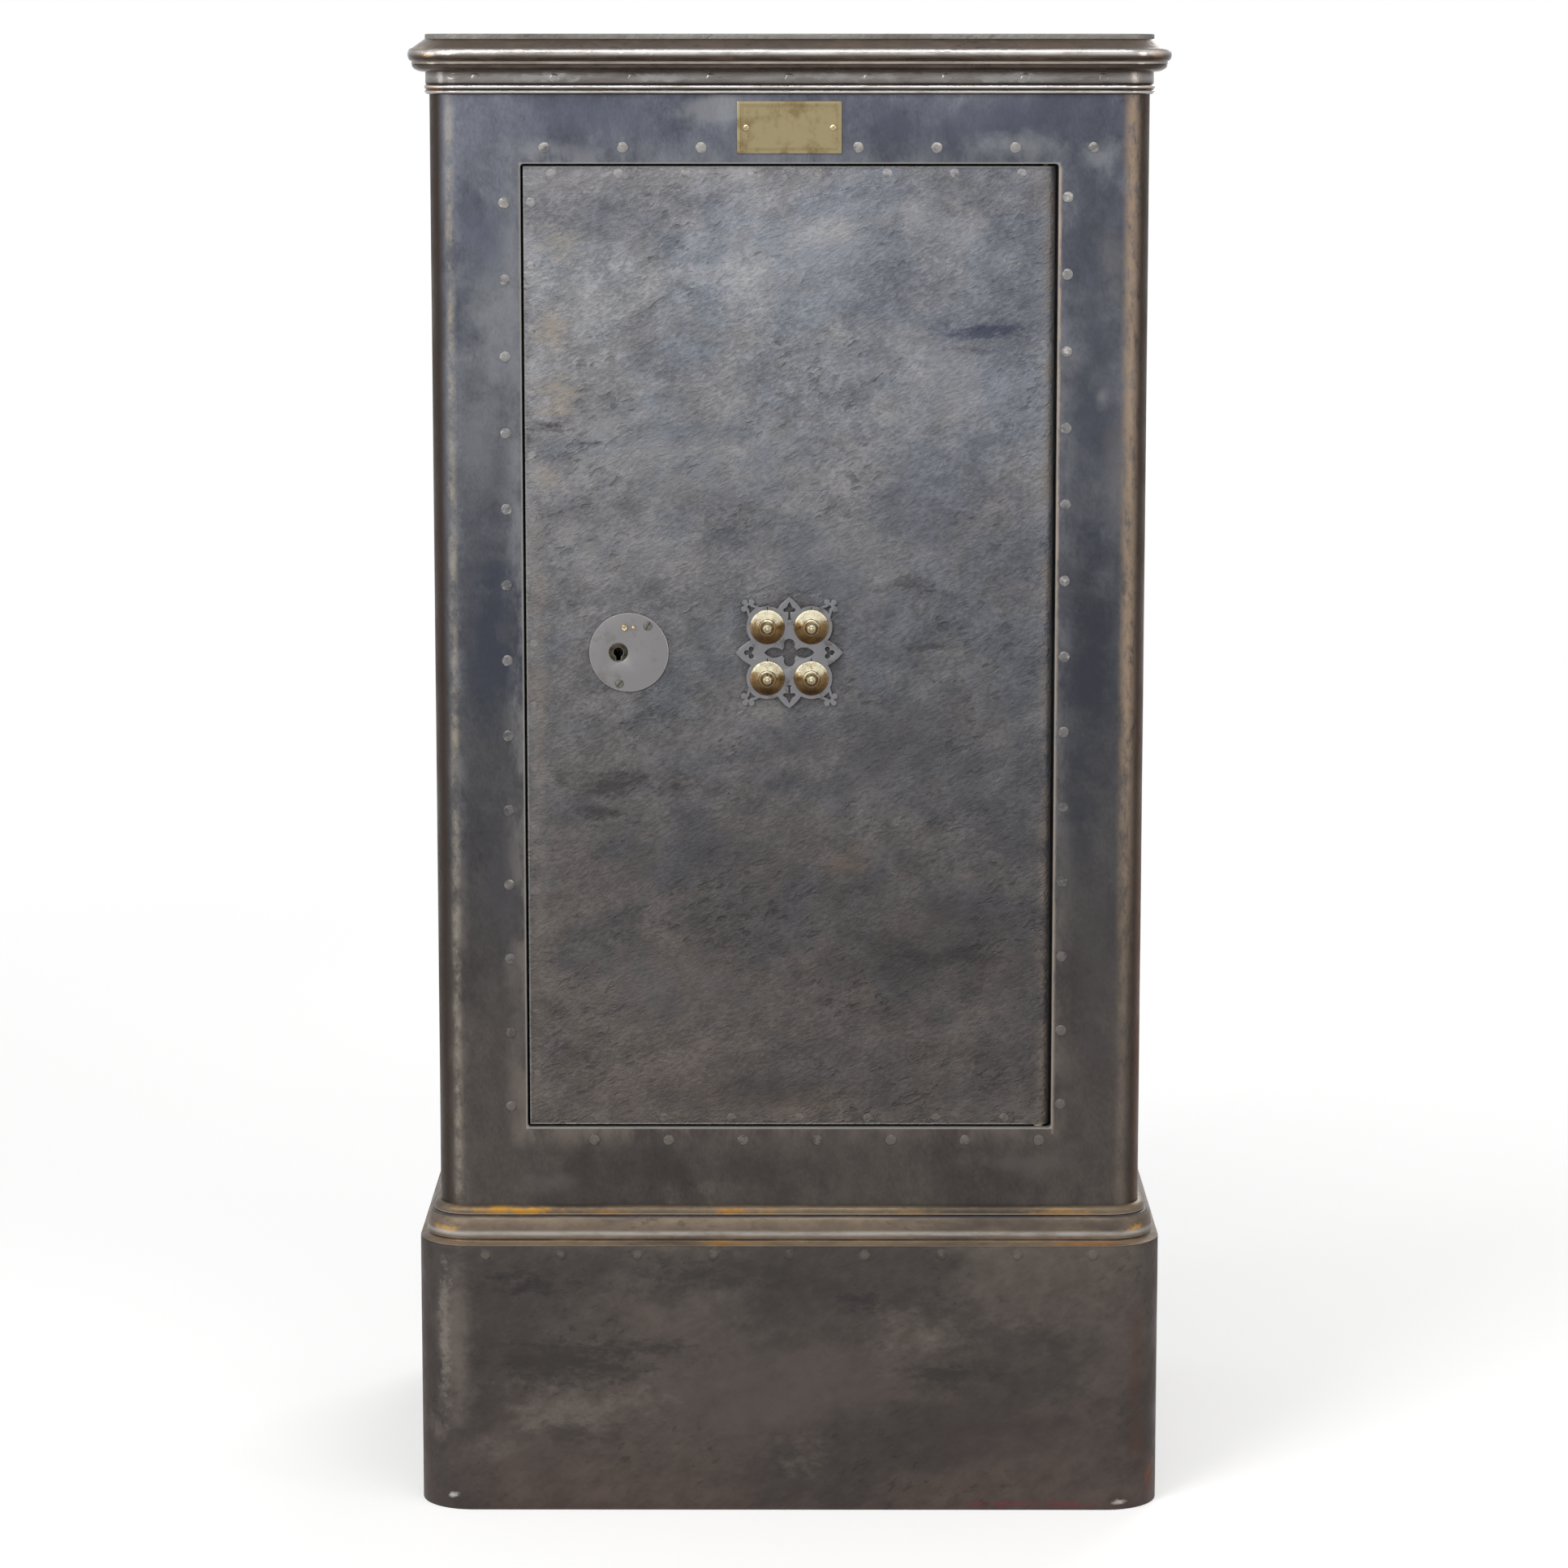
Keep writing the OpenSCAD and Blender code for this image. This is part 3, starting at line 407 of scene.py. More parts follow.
@dataclass(frozen=True)
class Patch:
    """A mark on the front with a ragged rim: a smudge, a rubbed patch, or in a few places a painted glint,
    sheen or shade.

    Attributes:
        x: Middle across.
        z: Middle height.
        half_w: Half its width.
        half_h: Half its height.
        colour: Its own colour.
        part: How much of that colour its middle takes.
        soft: Whether its rim wanders in broad waves, not in fine ones.
    """

    x: float
    z: float
    half_w: float
    half_h: float
    colour: RGB
    part: float = 0.7
    soft: bool = False


@dataclass(frozen=True)
class BurnishedIron(Finish):
    """Old iron, blackened and rubbed, whose tone runs down the height of the safe.

    The heights give its tones from the floor up. A dark cloud or a rubbed place begins where the
    noise passes dark_from or worn_from, and is at its full part a fade later. Its colour is the
    low one near the floor. The grain and the nicks lean from level by some degrees. The speckle
    and the mottling are the shares by which they change the tone.
    """

    name: str
    heights: tuple[tuple[float, RGB], ...]
    dark: RGB
    worn: RGB
    dark_low: RGB = (58, 54, 53)
    worn_low: RGB = (116, 107, 100)
    dark_from: float = 0.50
    worn_from: float = 0.60
    fade: float = 0.14
    cloud_size: float = 150.0
    cloud_stretch: float = 1.4
    dark_part: float = 0.7
    worn_part: float = 0.5
    pit_size: float = 3.6
    pit_depth: float = 0.30
    lean: float = -27.0
    speckle: float = 0.09
    mottled: float = 0.12
    dint_depth: float = 0.15
    dint_dark: float = 0.28
    roughness: float = 0.46
    metallic: float = 0.35
    specular: float = 0.30
    patches: tuple[Patch, ...] = ()

    def tone(self, recipe: Recipe) -> None:
        """Lays the ground colour, dark clouds, worn patches and grain.

        Args:
            recipe: Node tree of the material.
        """
        recipe.colour = recipe.ramp(recipe.axes[2], [(z * MM, colour) for z, colour in self.heights])
        stretch = (self.cloud_stretch, 1, 1)
        clouds = recipe.cloud(self.cloud_size, 7, 0.60, stretch)
        dark = recipe.share(clouds, self.dark_from, self.dark_from + self.fade)
        deep = self.warmer_low(recipe, self.dark_low, self.dark)
        recipe.lay(recipe.times(dark, self.dark_part), deep)
        patches = recipe.cloud(self.cloud_size * 0.7, 9, 0.70, stretch, 7.3)
        worn = recipe.share(patches, self.worn_from, self.worn_from + self.fade)
        recipe.lay(recipe.times(worn, self.worn_part), self.pale(recipe))
        mottle = recipe.cloud(26, 7, 0.74, (1.3, 1, 1), 3.1, self.lean)
        mottle = recipe.share(mottle, 0.32, 0.68, 1 - self.mottled, 1 + self.mottled)
        grain = recipe.share(self.grain(recipe), 0.30, 0.70, 1 - self.speckle, 1 + self.speckle)
        nicked = recipe.sum("SUBTRACT", 1.0, recipe.times(self.dints(recipe), self.dint_dark))
        for by in (mottle, grain, nicked):
            recipe.shade(by)

    @staticmethod
    def warmer_low(recipe: Recipe, low: RGB, high: RGB) -> NodeSocket:
        """Goes from one colour low down to another higher up."""
        return recipe.mix(recipe.share(recipe.axes[2], 0.5, 1.0), low, high)

    def pale(self, recipe: Recipe) -> NodeSocket:
        """The colour of a worn place, also laid as the inward spread of the frame's painted corner
        highlight.
        """
        return self.warmer_low(recipe, self.worn_low, self.worn)

    def grain(self, recipe: Recipe) -> NodeSocket:
        """Fine pits drawn out along the rolling, which leans a little."""
        return recipe.cloud(self.pit_size, 4, 0.64, (1.8, 1, 1), 2.0, self.lean)

    def dints(self, recipe: Recipe) -> NodeSocket:
        """Scatters nicks, which crowd in some places.

        Args:
            recipe: Node tree of the material.

        Returns:
            1 in the middle of a nick and 0 outside it.
        """
        nicks = recipe.share(recipe.cloud(7.5, 2, 0.55, (2.0, 1, 1), 6.6, self.lean), 0.43, 0.33)
        crowd = recipe.share(recipe.cloud(120, 5, 0.65, shift=1.9), 0.44, 0.60, 0.12, 1.0)
        return recipe.times(nicks, crowd)

    def patched(self, recipe: Recipe) -> None:
        """Lays the patches on the front.

        Args:
            recipe: Node tree of the material.
        """
        if not self.patches:
            return
        fine = recipe.cloud(12, 8, 0.76, (2.0, 1, 1), 5.0)
        broad = recipe.cloud(60, 10, 0.70, shift=12.0)
        front = recipe.share(recipe.axes[1], -0.15, -0.24)
        for patch in self.patches:
            away = recipe.spot(patch.x, patch.z, patch.half_w, patch.half_h)
            noisy, swing = (broad, 3.4) if patch.soft else (fine, 5.0)
            wander = recipe.sum("SUBTRACT", recipe.times(noisy, swing), swing / 2)
            away = recipe.sum("ADD", away, wander)
            part = recipe.share(away, 1.1, 0.0, 0.0, patch.part)
            recipe.lay(recipe.times(part, front), patch.colour)

    def relief(self, recipe: Recipe) -> NodeSocket:
        """Writes slight hollows, pits and nicks.

        Args:
            recipe: Node tree of the material.

        Returns:
            The normal.
        """
        hollows = recipe.bump(recipe.cloud(55, 2, 0.5), 1.0)
        rough_patch = recipe.share(recipe.cloud(80, 4, 0.6, shift=5.9), 0.36, 0.62, 0.4, 1.0)
        pits = recipe.share(self.grain(recipe), 0.34, 0.64)
        pitted = recipe.bump(recipe.times(pits, rough_patch), self.pit_depth, hollows)
        return recipe.bump(self.dints(recipe), -self.dint_depth, pitted)

    def gloss(self, recipe: Recipe) -> NodeSocket:
        """Roughness, less where the iron is rubbed bright."""
        clouds = recipe.cloud(70, 6, 0.65, shift=11.0)
        return recipe.share(clouds, 0.3, 0.7, self.roughness - 0.09, self.roughness + 0.1)

    def extras(self, recipe: Recipe) -> None:
        """Lays the marks of one finish alone. A plain iron has none."""

    def write(self) -> Material:
        """Writes the material's nodes.

        Returns:
            The material.
        """
        recipe = Recipe(self.name)
        for laid in (self.tone, self.patched, self.extras):
            laid(recipe)
        return recipe.finish(
            Base_Color=recipe.colour,
            Roughness=self.gloss(recipe),
            Normal=self.relief(recipe),
            Metallic=self.metallic,
            Specular_IOR_Level=self.specular,
        )


@dataclass(frozen=True)
class FrameIron(BurnishedIron):
    """The body's plate: worn round the opening, with painted highlights along its rim and right jamb, and
    painted highlight strips and dark brown painted reflections at the round corners.
    """

    # Colour of the dark painted reflection over the round corners.
    corner: RGB = (50, 39, 32)
    # Colour of the painted highlight along the opening's rim.
    rubbed: RGB = (150, 147, 142)
    # Colour of the painted highlight strips beside the round corners.
    strip: RGB = (152, 144, 130)
    # Colour of the painted warm highlight at the right corner.
    warm_highlight: RGB = (150, 130, 110)
    # Colour of the painted highlight beside the opening's right jamb.
    jamb_highlight: RGB = (170, 152, 137)
    # Colour of the painted warm reflection on the right corner's outer part.
    warm_reflection: RGB = (86, 54, 32)
    strip_x: float = 348.5
    corner_x: float = 356.0
    warm_highlight_x: float = 351.2

    def extras(self, recipe: Recipe) -> None:
        """Lays the opening's worn edge and painted rim highlight, the corners' painted highlights and dark
        brown painted reflections, and the painted highlight lines.

        Args:
            recipe: Node tree of the material.
        """
        away = recipe.outside(OPEN_HALF, OPEN_LOW, OPEN_HIGH)
        across = recipe.sum("ABSOLUTE", recipe.axes[0])
        flecks = recipe.share(recipe.cloud(11, 8, 0.78, (1, 1, 2.4), 9.0), 0.36, 0.56, 0.2, 1.0)
        self.opening_wear_and_rim_highlight(recipe, away)
        self.corner_highlights(recipe, across)
        self.painted_corner_reflection(recipe, across)
        self.right_corner_painted_light(recipe, flecks)
        self.jamb_highlight_line(recipe, away, flecks)

    def opening_wear_and_rim_highlight(self, recipe: Recipe, away: NodeSocket) -> None:
        """Wears the plate round the opening, and paints a highlight along the opening's rim.

        Args:
            recipe: Node tree of the material.
            away: Distance outside the opening.
        """
        broken = recipe.share(recipe.cloud(34, 7, 0.72, (1, 1, 2.4), 1.7), 0.40, 0.62)
        leftward = recipe.share(recipe.axes[0], 0.0, -0.27, 0.36, 0.66)
        near = recipe.times(recipe.share(away, 0.028, 0.0), leftward)
        recipe.lay(recipe.times(near, broken), self.pale(recipe))
        # Painted highlight: a thin pale line along the opening's rim.
        edge = recipe.times(recipe.share(away, 0.0024, 0.0004), 0.75)
        recipe.lay(edge, self.rubbed)

    def corner_highlights(self, recipe: Recipe, across: NodeSocket) -> None:
        """Paints a ragged highlight strip beside each round corner, stronger at the left, and spreads it
        inward.

        Args:
            recipe: Node tree of the material.
            across: Distance from the middle.
        """
        side = recipe.share(recipe.axes[0], -0.1, 0.1, 0.78, 0.18)
        strip = recipe.times(recipe.line(across, self.strip_x * MM, 0.0072), side)
        ragged = recipe.share(recipe.cloud(38, 9, 0.80, (1, 1, 1.3), 4.4), 0.42, 0.62, 0.10, 1.0)
        recipe.lay(recipe.times(strip, ragged), self.strip)
        # The painted highlight spreads inward in pale patches.
        sheen_spread = recipe.times(recipe.line(across, (self.strip_x - 3) * MM, 0.014), side)
        sheen_spread_noise = recipe.share(recipe.cloud(30, 9, 0.76, (1.2, 1, 1.6), 10.5), 0.44, 0.62, 0.0, 0.5)
        recipe.lay(recipe.times(sheen_spread, sheen_spread_noise), self.pale(recipe))

    def painted_corner_reflection(self, recipe: Recipe, across: NodeSocket) -> None:
        """Paints a dark brown reflection over the two round corners, weaker round onto the sides.

        Args:
            recipe: Node tree of the material.
            across: Distance from the middle.
        """
        turned = recipe.share(across, (self.corner_x - 5) * MM, (self.corner_x + 6) * MM)
        front = recipe.share(recipe.axes[1], -0.205, -0.255, 0.12, 1.0)
        recipe.lay(recipe.times(turned, front), self.corner)

    def right_corner_painted_light(self, recipe: Recipe, flecks: NodeSocket) -> None:
        """Paints a warm highlight line at the right corner, stronger higher up, and a warm reflection
        outside it, stronger low down.

        Args:
            recipe: Node tree of the material.
            flecks: Noise that breaks the line.
        """
        right = recipe.line(recipe.axes[0], self.warm_highlight_x * MM, 0.0125)
        high = recipe.share(recipe.axes[2], 0.40, 0.95, 0.15, 1.0)
        recipe.lay(recipe.times(right, flecks, 0.9, high), self.warm_highlight)
        outer = recipe.share(recipe.axes[0], 0.360, 0.3675, 0.0, 0.7)
        low = recipe.share(recipe.axes[2], 1.25, 0.45, 0.1, 1.0)
        front = recipe.share(recipe.axes[1], -0.225, -0.255)
        recipe.lay(recipe.times(outer, low, front), self.warm_reflection)

    def jamb_highlight_line(self, recipe: Recipe, away: NodeSocket, flecks: NodeSocket) -> None:
        """Paints a thin tan highlight beside the opening's right edge.

        Args:
            recipe: Node tree of the material.
            away: Distance outside the opening.
            flecks: Noise that breaks the line.
        """
        jamb = recipe.line(recipe.axes[0], (OPEN_HALF + 1.6) * MM, 0.0026)
        close = recipe.share(away, 0.008, 0.005)
        below_top = recipe.share(recipe.axes[2], OPEN_HIGH * MM, (OPEN_HIGH - 6) * MM)
        high = recipe.share(recipe.axes[2], 0.7, 1.3, 0.35, 0.9)
        recipe.lay(recipe.times(jamb, close, flecks, below_top, high), self.jamb_highlight)


@dataclass(frozen=True)
class DoorIron(BurnishedIron):
    """The door's plate, worn along its edges, with a painted highlight along its rim, painted light and
    shade on its heel and painted shadow round its fittings.
    """

    # Colour of the painted highlight along the plate's rim.
    rubbed: RGB = (150, 150, 150)
    # Colour of the painted shadow round the pierced plate and the lock disc.
    dark_tone: RGB = (58, 55, 53)
    # Tan-brown painted on the heel's round as its light and shade.
    heel: RGB = (112, 102, 93)
    cool: RGB = (221, 225, 230)
    warm: RGB = (255, 251, 246)

    def extras(self, recipe: Recipe) -> None:
        """Lays blue and brown drifts, the worn edge with its painted highlights, and the painted shadow
        round the fittings.
        """
        for laid in (self.drifted, self.edge_wear_and_highlight, self.painted_shadow_round_fittings):
            laid(recipe)

    def drifted(self, recipe: Recipe) -> None:
        """Lets the plate drift between blue and brown, bluer at the right.

        Args:
            recipe: Node tree of the material.
        """
        leftward = recipe.times(recipe.axes[0], 0.22)
        drift = recipe.sum("SUBTRACT", recipe.cloud(72, 8, 0.70, (1.3, 1, 1), 15.0), leftward)
        drift = recipe.share(drift, 0.38, 0.62)
        recipe.lay(1.0, recipe.mix(drift, self.cool, self.warm), "MULTIPLY")

    def edge_wear_and_highlight(self, recipe: Recipe) -> None:
        """Wears the plate near its edges, paints a highlight along the edges and paints light and shade on
        the heel's round in tan-brown.

        Args:
            recipe: Node tree of the material.
        """
        inside = recipe.times(recipe.outside(-DOOR.x0, DOOR.z0, DOOR.z1), -1.0)
        broken = recipe.share(recipe.cloud(30, 7, 0.72, shift=6.2), 0.38, 0.60)
        wear = recipe.times(recipe.share(inside, 0.030, 0.002, 0.0, 0.30), broken)
        recipe.lay(wear, self.pale(recipe))
        # Painted highlight: a thin pale line along the plate's rim.
        edge = recipe.times(recipe.share(inside, 0.0022, 0.0006), 0.6)
        recipe.lay(edge, self.rubbed)
        # Painted light and shade on the heel's round.
        heel = recipe.share(recipe.axes[0], 0.2560, 0.2670, 0.0, 0.6)
        recipe.lay(recipe.times(heel, broken), self.heel)

    def painted_shadow_round_fittings(self, recipe: Recipe) -> None:
        """Paints a soft shadow round the pierced plate and the lock disc, seen through the piercings and
        round the rims.

        Args:
            recipe: Node tree of the material.
        """
        for extent, reach in ((Extent.of("escutcheon"), 1.12), (DISC, 1.06)):
            away = recipe.spot(extent.mid_x, extent.mid_z, extent.half_x, extent.half_x)
            recipe.lay(recipe.share(away, reach, 0.88, 0.0, 0.5), self.dark_tone)


@dataclass(frozen=True)
class LightShadeLine:
    """A level line on a moulding: mostly a painted highlight along a round or an edge, or painted shade in
    a hollow or crease; one is the cornice band's own pale tone.

    Attributes:
        z: Height of its middle.
        half: Height over which it fades out, up and down.
        colour: Its own colour.
        part: How much of that colour its middle takes.
    """

    z: float
    half: float
    colour: RGB
    part: float = 0.7


@dataclass(frozen=True)
class MouldingIron(BurnishedIron):
    """A moulding's iron, with painted highlight and shade lines that follow its arrises and hollows, and a
    dark painted reflection at its round corners.
    """

    light_shade_lines: tuple[LightShadeLine, ...] = ()
    # Colour of the dark painted reflection at the round corners.
    corner: RGB = (52, 40, 33)
    corner_x: float = 378.0
    corner_fade: float = 12.0
    corner_y: float = -262.0
    corner_reflection_part: float = 0.6

    def extras(self, recipe: Recipe) -> None:
        """Lays the painted highlight and shade lines and the corners' dark painted reflection.

        Args:
            recipe: Node tree of the material.
        """
        ragged = recipe.share(recipe.cloud(24, 6, 0.7, (2, 2, 0.4), 2.9), 0.30, 0.60, 0.45, 1.0)
        for streak in self.light_shade_lines:
            part = recipe.line(recipe.axes[2], streak.z * MM, streak.half * MM)
            recipe.lay(recipe.times(part, ragged, streak.part), streak.colour)
        # Dark painted reflection over the round corners, weaker round onto the sides.
        start, end = (self.corner_x - self.corner_fade) * MM, (self.corner_x + self.corner_fade) * MM
        turned = recipe.share(recipe.sum("ABSOLUTE", recipe.axes[0]), start, end)
        front = recipe.share(recipe.axes[1], -0.16, self.corner_y * MM, 0.45, 1.0)
        recipe.lay(recipe.times(turned, front, self.corner_reflection_part), self.corner)


@dataclass(frozen=True)
class Metal(Finish):
    """Rubbed bare metal with a dull skin in patches, and fine scratches.

    The skin begins where the noise passes dull_from, in patches of the size patch. A scratch is
    longer along each axis by what scratch gives, and the rounded edges take a part of arris as a painted
    highlight.
    """

    name: str
    bright: RGB
    dull: RGB
    dull_from: float = 0.46
    patch: float = 18.0
    roughness: float = 0.30
    scratch: tuple[float, float, float] = (6, 1, 1)
    scratch_depth: float = 0.03
    metallic: float = 1.0
    specular: float = 0.5
    # Colour of the painted highlight on the eased edges.
    arris: RGB = (196, 194, 190)
    arris_highlight_part: float = 0.35

    def write(self) -> Material:
        """Writes the material's nodes.

        Returns:
            The material.
        """
        recipe = Recipe(self.name, self.bright)
        skin = recipe.share(recipe.cloud(self.patch, 6, 0.68), self.dull_from, self.dull_from + 0.16)
        recipe.lay(skin, self.dull)
        specks = recipe.share(recipe.cloud(2.4, 3, 0.6, shift=5.5), 0.62, 0.74, 0.0, 0.6)
        recipe.lay(specks, self.dull)
        # Painted highlight on the eased edges.
        edge = recipe.node("ShaderNodeAttribute", attribute_name=ARRIS).outputs["Fac"]
        recipe.lay(recipe.times(edge, self.arris_highlight_part), self.arris)
        scratches = recipe.cloud(0.9, 3, 0.6, self.scratch, 1.2)
        relief = recipe.bump(scratches, self.scratch_depth, recipe.bump(recipe.cloud(9, 3), 0.12))
        rough = recipe.share(skin, 0.0, 1.0, self.roughness - 0.05, self.roughness + 0.16)
        return recipe.finish(
            Base_Color=recipe.colour, Roughness=rough, Normal=relief,
            Metallic=self.metallic, Specular_IOR_Level=self.specular,
        )


@dataclass(frozen=True)
class TurnedBrass(Finish):
    """Lathe-turned brass about one dial's axis, with a brown skin in patches, dark rings in its hollows, a
    painted highlight over its upper side and painted shade over its lower side.
    """

    name: str
    x: float
    z: float
    # Colour of the painted highlight over the upper side, also laid on the dome and ball.
    bright: RGB = (220, 212, 184)
    ground: RGB = (128, 105, 73)
    # Colour of the skin, and of the painted shade over the lower side.
    brown: RGB = (76, 53, 33)
    dark_tone: RGB = (38, 29, 21)
    grooves: tuple[tuple[float, float], ...] = ((9.0, 0.8), (6.4, 0.6), (2.9, 0.5))

    def write(self) -> Material:
        """Writes the material's nodes.

        Returns:
            The material.
        """
        recipe = Recipe(self.name, self.ground)
        # Painted highlight over the upper side and painted shade over the lower side, with a wandering
        # border.
        patches = recipe.times(recipe.sum("SUBTRACT", recipe.cloud(7, 6, 0.7), 0.5), 0.022)
        up = recipe.sum("ADD", recipe.sum("SUBTRACT", recipe.axes[2], self.z * MM), patches)
        recipe.lay(recipe.share(up, 0.002, 0.011), self.bright)
        low = recipe.share(up, 0.002, -0.017, 0.0, 0.85)
        recipe.lay(low, self.brown)
        skin = recipe.share(recipe.cloud(5, 7, 0.72, shift=2.0), 0.52, 0.72, 0.0, 0.4)
        recipe.lay(skin, self.brown)
        radius = recipe.spot(self.x, self.z, 1, 1)
        recipe.lay(recipe.share(radius, 6.2, 5.4, 0.0, 0.45), self.bright)
        for at, half in self.grooves:
            part = recipe.times(recipe.line(radius, at, half), 0.8)
            recipe.lay(part, self.dark_tone)
        rings = recipe.sum("SINE", recipe.times(radius, 14.0))
        wobble = recipe.times(rings, recipe.cloud(5, 3))
        relief = recipe.bump(wobble, 0.008, recipe.bump(recipe.cloud(3, 4), 0.02))
        rough = recipe.share(recipe.cloud(4, 5, 0.6, shift=4.0), 0.3, 0.7, 0.20, 0.36)
        return recipe.finish(Base_Color=recipe.colour, Roughness=rough, Normal=relief, Metallic=1.0)


@dataclass(frozen=True)
class Paint(Finish):
    """Old satin paint on iron, rubbed and dusty."""

    name: str
    colour: RGB
    faded: RGB
    dark_tone: RGB
    roughness: float = 0.5

    def write(self) -> Material:
        """Writes the material's nodes.

        Returns:
            The material.
        """
        recipe = Recipe(self.name, self.colour)
        fade = recipe.share(recipe.cloud(180, 5, 0.6), 0.36, 0.64)
        recipe.lay(fade, self.faded)
        dirt = recipe.share(recipe.cloud(60, 8, 0.75, shift=4.0), 0.56, 0.74, 0.0, 0.6)
        recipe.lay(dirt, self.dark_tone)
        brush = recipe.cloud(2.2, 3, 0.6, (1, 1, 9))
        relief = recipe.bump(brush, 0.05, recipe.bump(recipe.cloud(12, 3), 0.15))
        dusty = recipe.cloud(40, 4, shift=8.0)
        rough = recipe.share(dusty, 0.3, 0.7, self.roughness - 0.08, self.roughness + 0.1)
        return recipe.finish(
            Base_Color=recipe.colour, Roughness=rough, Normal=relief, Specular_IOR_Level=0.4,
        )


@dataclass(frozen=True)
class Packing(Finish):
    """Packed dry filling: pale, coarse and dusty."""

    name: str = "packed_filling"
    dark: RGB = (176, 168, 152)
    pale: RGB = (208, 201, 187)

    def write(self) -> Material:
        """Writes the material's nodes.

        Returns:
            The material.
        """
        recipe = Recipe(self.name, self.dark)
        crumbs = recipe.cloud(6, 6, 0.7)
        recipe.lay(recipe.share(crumbs, 0.35, 0.65), self.pale)
        relief = recipe.bump(crumbs, 0.8)
        return recipe.finish(
            Base_Color=recipe.colour, Roughness=0.95, Normal=relief, Specular_IOR_Level=0.1,
        )


SOOT: RGB = (48, 45, 47)
NAVY: RGB = (56, 59, 70)
PALE: RGB = (146, 148, 152)

DOOR_PATCHES = (
    Patch(20, 1340, 190, 66, (152, 155, 162), 0.55, True),
    Patch(-236, 1336, 30, 22, (150, 147, 140), 0.55),
    Patch(-246, 1250, 22, 26, (150, 142, 130), 0.50),
    Patch(-240, 1180, 26, 30, (148, 140, 128), 0.50),
    Patch(-252, 1100, 18, 24, (142, 134, 122), 0.45),
    Patch(-130, 1120, 130, 54, (138, 141, 146), 0.45, True),
    Patch(170, 1190, 110, 90, (140, 144, 154), 0.28, True),
    Patch(-190, 1020, 90, 40, (132, 132, 134), 0.40, True),
    Patch(60, 1010, 120, 60, (104, 106, 114), 0.45, True),
    Patch(120, 820, 130, 60, (80, 78, 80), 0.50, True),
    Patch(-60, 700, 160, 60, (78, 75, 76), 0.50, True),
    Patch(170, 600, 100, 70, (72, 68, 68), 0.60, True),
    Patch(-150, 560, 110, 60, (96, 91, 89), 0.45, True),
    Patch(0, 440, 240, 30, (72, 66, 63), 0.50, True),
    Patch(-262, 860, 12, 300, (118, 110, 104), 0.45, True),
    Patch(262, 640, 12, 200, (60, 58, 62), 0.50, True),
    # Painted shade toward the top of the door's right edge.
    Patch(262, 1396, 26, 40, (96, 88, 82), 0.50, True),
    Patch(207, 1247, 58, 14, (62, 66, 84), 0.85),
    Patch(186, 1228, 30, 6, (70, 72, 84), 0.70),
    Patch(-248, 1149, 32, 7, SOOT, 0.85),
    Patch(-205, 1131, 24, 4, SOOT, 0.75),
    Patch(-178, 774, 70, 18, SOOT, 0.75),
    Patch(-196, 746, 36, 9, SOOT, 0.60),
    Patch(142, 977, 20, 4, SOOT, 0.85),
    Patch(124, 984, 44, 9, SOOT, 0.50),
    Patch(142, 919, 30, 5, SOOT, 0.60),
    Patch(158, 592, 66, 20, SOOT, 0.60),
    Patch(-30, 850, 50, 16, (132, 130, 130), 0.40),
    Patch(60, 690, 24, 20, (104, 90, 76), 0.45),
)
FRAME_PATCHES = (
    Patch(-308, 930, 40, 150, NAVY, 0.90, True),
    Patch(-300, 680, 30, 90, (70, 69, 73), 0.60, True),
    Patch(-306, 1240, 36, 90, (128, 130, 134), 0.60, True),
    Patch(-318, 1350, 34, 60, (84, 88, 102), 0.60, True),
    Patch(-325, 1130, 24, 60, (112, 114, 118), 0.50, True),
    Patch(-285, 500, 20, 120, (104, 100, 98), 0.50, True),
    Patch(-210, 1466, 90, 26, (84, 88, 102), 0.55, True),
    Patch(200, 1462, 150, 30, (78, 82, 96), 0.65, True),
    Patch(-84, 1472, 44, 18, PALE, 0.50, True),
    Patch(236, 1436, 60, 18, PALE, 0.45, True),
    Patch(-240, 1430, 50, 14, PALE, 0.45, True),
    Patch(318, 1424, 30, 24, PALE, 0.45, True),
    Patch(312, 1150, 36, 220, (66, 69, 80), 0.75, True),
    Patch(314, 900, 38, 220, (52, 54, 62), 0.90, True),
    Patch(318, 560, 26, 130, (72, 68, 70), 0.60, True),
    Patch(330, 1310, 22, 60, (122, 120, 118), 0.40, True),
    Patch(322, 1180, 10, 14, (140, 140, 142), 0.40, True),
    Patch(336, 1090, 16, 60, (112, 108, 106), 0.40, True),
    Patch(-40, 366, 130, 20, (54, 50, 50), 0.55, True),
    Patch(-250, 350, 50, 16, (96, 92, 88), 0.50, True),
    Patch(240, 372, 70, 16, (92, 87, 83), 0.50, True),
)
